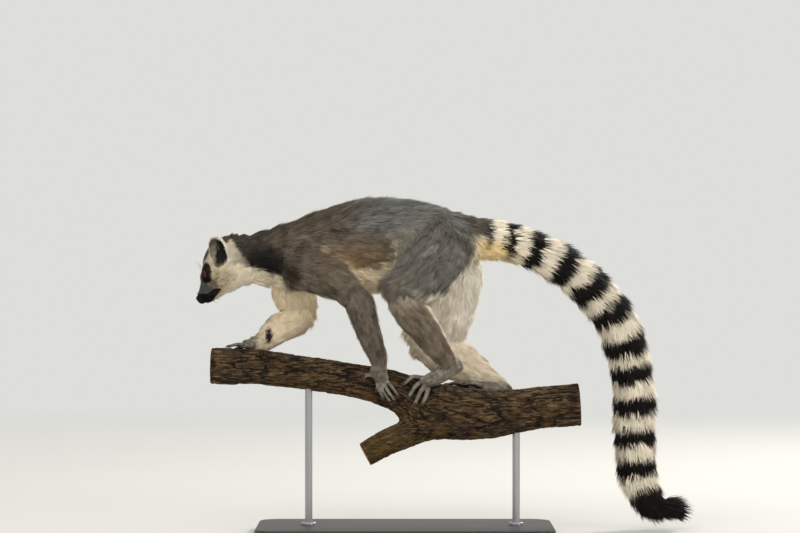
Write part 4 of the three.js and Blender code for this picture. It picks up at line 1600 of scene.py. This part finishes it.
class Finish(Nodes):
    """One material and the nodes that make it."""

    def __init__(self, name, **constants):
        self.material = bpy.data.materials.new(name)
        self.material.use_nodes = True
        self.tree = self.material.node_tree
        self.shader = self.tree.nodes["Principled BSDF"]
        for socket, value in constants.items():
            self.shader.inputs[socket.replace("_", " ").title().replace("Ior", "IOR")].default_value = value

    def cover(self, colour, roughness=None):
        """The colour of the surface and, where it varies, its roughness."""
        self.feed(self.shader, {"Base Color": colour})
        if roughness is not None:
            self.feed(self.shader, {"Roughness": roughness})

    def mix(self, share, a, b):
        """Two colours mixed."""
        return self.add("ShaderNodeMix", {0: share, 6: a, 7: b}, data_type="RGBA").outputs[2]

    def scaled(self, colour, by):
        return self.add("ShaderNodeVectorMath", {0: colour, "Scale": by}, operation="SCALE").outputs[0]

    def ramp(self, value, stops):
        """The colour at a value, between stops that are each a place and a colour."""
        made = self.add("ShaderNodeValToRGB", {"Fac": value})
        elements = made.color_ramp.elements
        for i, (place, colour) in enumerate(stops):
            stop = elements[i] if i < 2 else elements.new(place)
            stop.position, stop.color = place, (*colour, 1)
        return made.outputs[0]

    def attribute(self, name):
        """The four numbers that a piece carries under a name."""
        made = self.add("ShaderNodeAttribute", attribute_name=name)
        parts = self.add("ShaderNodeSeparateColor", {"Color": made.outputs["Color"]})
        return [Signal(self, parts.outputs[i]) for i in range(3)] + [Signal(self, made.outputs["Alpha"])]

    def places(self, stretch=(1, 1, 1)):
        """Places on the object in metres, each axis scaled."""
        place = self.add("ShaderNodeTexCoord").outputs["Object"]
        return self.add("ShaderNodeMapping", {"Vector": place, "Scale": stretch}).outputs[0]

    def noise(self, size, detail=2.0, stretch=(1, 1, 1), rough=0.5):
        """Noise from 0 to 1, with lumps about size millimetres wide."""
        inputs = {"Scale": 1 / (size * MM), "Detail": detail, "Roughness": rough}
        made = self.add("ShaderNodeTexNoise", {"Vector": self.places(stretch), **inputs})
        return Signal(self, made.outputs["Fac"])

    def bump(self, height, depth, strength=1.0):
        """The surface raised by up to depth millimetres."""
        made = self.add("ShaderNodeBump", {"Height": height, "Distance": depth * MM, "Strength": strength})
        self.feed(self.shader, {"Normal": made.outputs[0]})

    def wear(self, *pieces):
        for piece in pieces:
            piece.data.materials.clear()
            piece.data.materials.append(self.material)


GREY, BROWN = tone(126, 127, 122), tone(130, 101, 64)
PALE, CREAM = tone(252, 246, 232), tone(232, 200, 138)
BLACK = tone(20, 17, 15)
BARE_SKIN = tone(22, 19, 18)


def hair_colour(finish, marks):
    """The colour of the coat from its markings: grey to brown, pale to cream, and black over both."""
    pale, dark, warm, _ = marks
    ground = finish.mix(warm, GREY, BROWN)
    light = finish.mix(warm, PALE, CREAM)
    return finish.mix(dark, finish.mix(pale, ground, light), BLACK)


def skin_finish():
    """Short close hair under the coat, darkened as painted shade of the coat over it, and bare dark skin at
    the lids, ear hollows, fingers and toes.
    """
    finish = Finish("hide", roughness=0.7, specular_ior_level=0.12)
    marks = finish.attribute("marking")
    patches = finish.noise(9, 3)
    # Painted shade: the close hair is darker than the coat above it, and less so under pale hair.
    hair = finish.scaled(hair_colour(finish, marks), 0.56 + 0.24 * patches + 0.4 * marks[0])
    finish.cover(finish.mix(marks[3] * 0.95, hair, BARE_SKIN))
    finish.bump(finish.noise(1.1, 3) + finish.noise(3.2, 2), 0.5, 0.7)
    return finish


def coat_finish():
    """Hair: each lock has its own tone. Painted shade darkens each lock towards its root and in the troughs
    between clumps, and painted light brightens the clumps' crests.
    """
    finish = Finish("coat", roughness=0.62, specular_ior_level=0.14)
    marks = finish.attribute("marking")
    pale = marks[0]
    own, along, clump, _ = finish.attribute("strand")
    # Painted shade: darker towards each lock's root, deep under the others; pale hair gets less of it.
    shade = 0.64 + 0.32 * pale + (0.34 - 0.26 * pale) * along
    # Each lock's own random tone, then painted shade in the troughs between clumps and painted light on their
    # crests.
    shade = shade + (0.34 - 0.18 * pale) * (own - 0.5) + 0.85 * (clump - 0.5) * (1 - 0.65 * pale)
    finish.cover(finish.scaled(hair_colour(finish, marks), shade))
    return finish


def eye_finish():
    """A clear wet eye: a dark pupil, a brown-orange iris with fine spokes, and a dark rim."""
    finish = Finish("eye", roughness=0.15, coat_weight=0.05, coat_roughness=0.02, specular_ior_level=0.05)
    x, y, angle, _ = finish.attribute("iris")
    spokes = finish.add("ShaderNodeCombineXYZ", {0: x * 7, 1: y * 7, 2: angle * 1.6})
    fine = finish.add("ShaderNodeTexNoise", {"Vector": spokes.outputs[0], "Scale": 1.0, "Detail": 4.0})
    fine = Signal(finish, fine.outputs[0])
    stops = [
        (0.0, tone(5, 4, 4)),
        (IRIS["pupil"] - 0.01, tone(5, 4, 4)),
        (IRIS["pupil"] + 0.02, tone(62, 28, 14)),
        (0.46, tone(134, 82, 46)),
        (0.54, tone(106, 56, 32)),
        (0.61, tone(44, 20, 12)),
        (IRIS["edge"], tone(14, 8, 6)),
    ]
    rings = finish.ramp(angle + 0.1 * (fine - 0.5), stops)
    finish.cover(finish.scaled(rings, 0.7 + 0.6 * fine))
    return finish


def nose_finish():
    """Black leather with a fine pebbled grain."""
    finish = Finish("nose_leather", specular_ior_level=0.16)
    cells = finish.add("ShaderNodeTexVoronoi", {"Vector": finish.places(), "Scale": 1 / (0.75 * MM)})
    pebbles = Signal(finish, cells.outputs["Distance"])
    finish.cover(finish.mix(finish.noise(3), tone(10, 9, 9), tone(20, 18, 18)), 0.4 + 0.2 * pebbles)
    finish.bump(1 - pebbles, 0.16, 0.8)
    return finish


def horn_finish(name, dark, light, roughness):
    finish = Finish(name, specular_ior_level=0.45)
    grain = finish.noise(1.2, 3)
    finish.cover(finish.mix(grain, dark, light), roughness + 0.2 * grain)
    finish.bump(finish.noise(0.5, 2), 0.05, 0.5)
    return finish


def bark_finish():
    """Furrowed bark with ochre lichen, and pale wood with rings at the sawn ends."""
    finish = Finish("bark", specular_ior_level=0.25)
    ridge, lichen, sawn, pith = finish.attribute("bark")
    patches = finish.noise(22, 4)
    grit = finish.noise(1.6, 4, rough=0.6)
    streaks = finish.noise(2.6, 5, (0.2, 1, 1), rough=0.7)
    dashes = streaks.between(0.4, 0.58)
    bark = finish.mix(patches.between(0.35, 0.65), tone(92, 71, 48), tone(128, 101, 68))
    # Painted shade: darker down in the furrows and in the fine grooves along the wood.
    bark = finish.mix(dashes * ridge.between(0.05, 0.7), tone(27, 20, 14), bark)
    stain = finish.mix(grit.between(0.3, 0.7), tone(92, 68, 28), tone(132, 106, 54))
    bark = finish.mix(lichen * grit.between(0.25, 0.6) * 0.55, bark, stain)
    bark = finish.scaled(bark, 0.45 + 0.9 * grit)
    wave = finish.math("SINE", (pith * PITH_SPAN + 2.6 * finish.noise(11, 3)) * 2.5)
    rings = finish.mix(wave.between(-1, 1), tone(158, 122, 80), tone(190, 156, 110))
    wood = finish.mix(pith.between(0.5, 0.62), rings, tone(120, 84, 50))
    wood = finish.scaled(wood, 0.85 + 0.3 * finish.noise(1.5, 3))
    finish.cover(finish.mix(sawn, bark, wood), 0.92 - 0.2 * sawn)
    finish.bump((0.6 * grit + dashes) * (1 - 0.8 * sawn), 1.1)
    return finish


def board_finish():
    """Wood with a near-black satin stain, its grain along the board."""
    finish = Finish("stained_board", specular_ior_level=0.4)
    grain = finish.noise(3.0, 4, (0.06, 1, 0.6))
    fine = finish.noise(0.8, 3, (0.05, 1, 1))
    stain = finish.mix(grain.between(0.3, 0.7), tone(38, 34, 32), tone(58, 51, 46))
    finish.cover(stain, 0.36 + 0.16 * fine)
    finish.bump(fine + 0.6 * grain, 0.12, 0.5)
    return finish


def steel_finish():
    """Brushed steel, its fine lines round the rod."""
    finish = Finish("brushed_steel", metallic=1.0)
    lines = finish.noise(0.5, 3, (0.08, 0.08, 1))
    finish.cover(finish.mix(lines, tone(150, 152, 154), tone(190, 191, 192)), 0.26 + 0.2 * lines)
    finish.bump(lines, 0.03, 0.4)
    return finish


# ---- everything put together
skin_points, skin_quads = surface_of(flesh, *box_of(FLESH, 4), GRAINS["skin"])
share, _, place, lie = survey(skin_points)
marks = markings(skin_points, share, place)
coat, marks = make_coat(skin_points, skin_quads, marks, share, lie)
coat_finish().wear(*coat)

skin = make_object("skin", skin_points, skin_quads)
paint(skin, "marking", marks)
thin_out(skin, SKIN_TRIANGLES)
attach(skin, "root")
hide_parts(*FLESH)
skin_finish().wear(skin)

eye_finish().wear(*[make_eye(side) for side in SIDES])
nose_finish().wear(make_nose())
horn_finish("whisker", tone(28, 25, 23), tone(88, 80, 70), 0.4).wear(make_whiskers())
horn_finish("nail", tone(24, 20, 18), tone(52, 44, 38), 0.3).wear(make_nails())

bark_finish().wear(make_bark())
board_finish().wear(make_board())
steel_finish().wear(make_collars(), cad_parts["stand_rod_front"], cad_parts["stand_rod_back"])


# ---- floor, light and camera
BACKDROP = tone(222, 222, 218)
FLOOR = {"radius": 40000, "around": 96, "rings": (0.05, 0.25, 1.0)}
MODEL_MIDDLE = (0.0, 0.0, 0.3)


def make_floor():
    """A wide pale floor. Far away, the camera and mirrors see the backdrop's plain colour on it."""
    around = FLOOR["around"]
    rim = np.column_stack([circle(around), np.zeros(around)]) * FLOOR["radius"]
    points = np.vstack([rim * share for share in FLOOR["rings"]] + [[0, 0, 0]])
    centre = len(points) - 1
    faces = []
    for j in range(around):
        k = (j + 1) % around
        faces += [(centre, j, k)]
        for a in range(0, centre - around, around):
            faces += [(a + j, a + around + j, a + around + k), (a + j, a + around + k, a + k)]
    floor = make_object("floor", points, faces)
    finish = Finish("floor", roughness=0.85, specular_ior_level=0.2)
    finish.cover(finish.mix(finish.noise(900, 2), tone(216, 216, 212), tone(224, 224, 220)))
    distance = finish.add("ShaderNodeVectorMath", {0: finish.places()}, operation="LENGTH").outputs["Value"]
    rays = finish.add("ShaderNodeLightPath")
    seen = finish.math("MAXIMUM", rays.outputs["Is Camera Ray"], rays.outputs["Is Glossy Ray"])
    far = Signal(finish, distance).between(0.9, 3.6) * seen
    plain = finish.add("ShaderNodeEmission", {"Color": BACKDROP})
    chosen = finish.add("ShaderNodeMixShader", {0: far, 1: finish.shader.outputs[0], 2: plain.outputs[0]})
    finish.feed(finish.tree.nodes["Material Output"], {0: chosen.outputs[0]})
    finish.wear(floor)


def lamp(name, place, size, watts, colour=(1, 1, 1)):
    """A soft square lamp that shines at the model."""
    light = bpy.data.lights.new(name, "AREA")
    light.size, light.energy, light.color = size, watts, colour
    piece = bpy.data.objects.new(name, light)
    piece.location = place
    piece.rotation_euler = (Vector(MODEL_MIDDLE) - Vector(place)).to_track_quat("-Z", "Y").to_euler()
    bpy.context.scene.collection.objects.link(piece)


def make_world(strength):
    """A soft even light from all round. Past the floor, the camera sees the backdrop's plain colour."""
    world = bpy.data.worlds.new("studio")
    world.use_nodes = True
    bpy.context.scene.world = world
    nodes = Nodes(world.node_tree)
    light, output = (nodes.tree.nodes[name] for name in ("Background", "World Output"))
    nodes.feed(light, {"Color": (1, 0.985, 0.96), "Strength": strength})
    backdrop = nodes.add("ShaderNodeBackground", {"Color": BACKDROP})
    rays = nodes.add("ShaderNodeLightPath")
    seen = nodes.math("MAXIMUM", rays.outputs["Is Camera Ray"], rays.outputs["Is Transmission Ray"])
    chosen = nodes.add("ShaderNodeMixShader", {0: seen, 1: light.outputs[0], 2: backdrop.outputs[0]})
    nodes.feed(output, {0: chosen.outputs[0]})


make_floor()
make_world(0.7)
lamp("key", (-1.2, -2.8, 2.6), 2.2, 42, (1, 0.98, 0.95))
lamp("fill", (2.6, -2.4, 1.3), 2.0, 24)
lamp("rim", (2.3, 2.1, 2.0), 1.0, 84, (1, 0.95, 0.88))

camera = bpy.data.objects.new("camera", bpy.data.cameras.new("camera"))
camera.location = (-0.00675, -4.0, 0.361)
camera.rotation_euler = (math.radians(90), 0, 0)
camera.data.lens = 133.3
camera.data.sensor_width = 36
bpy.context.scene.collection.objects.link(camera)
bpy.context.scene.camera = camera
bpy.context.scene.view_settings.view_transform = "Standard"
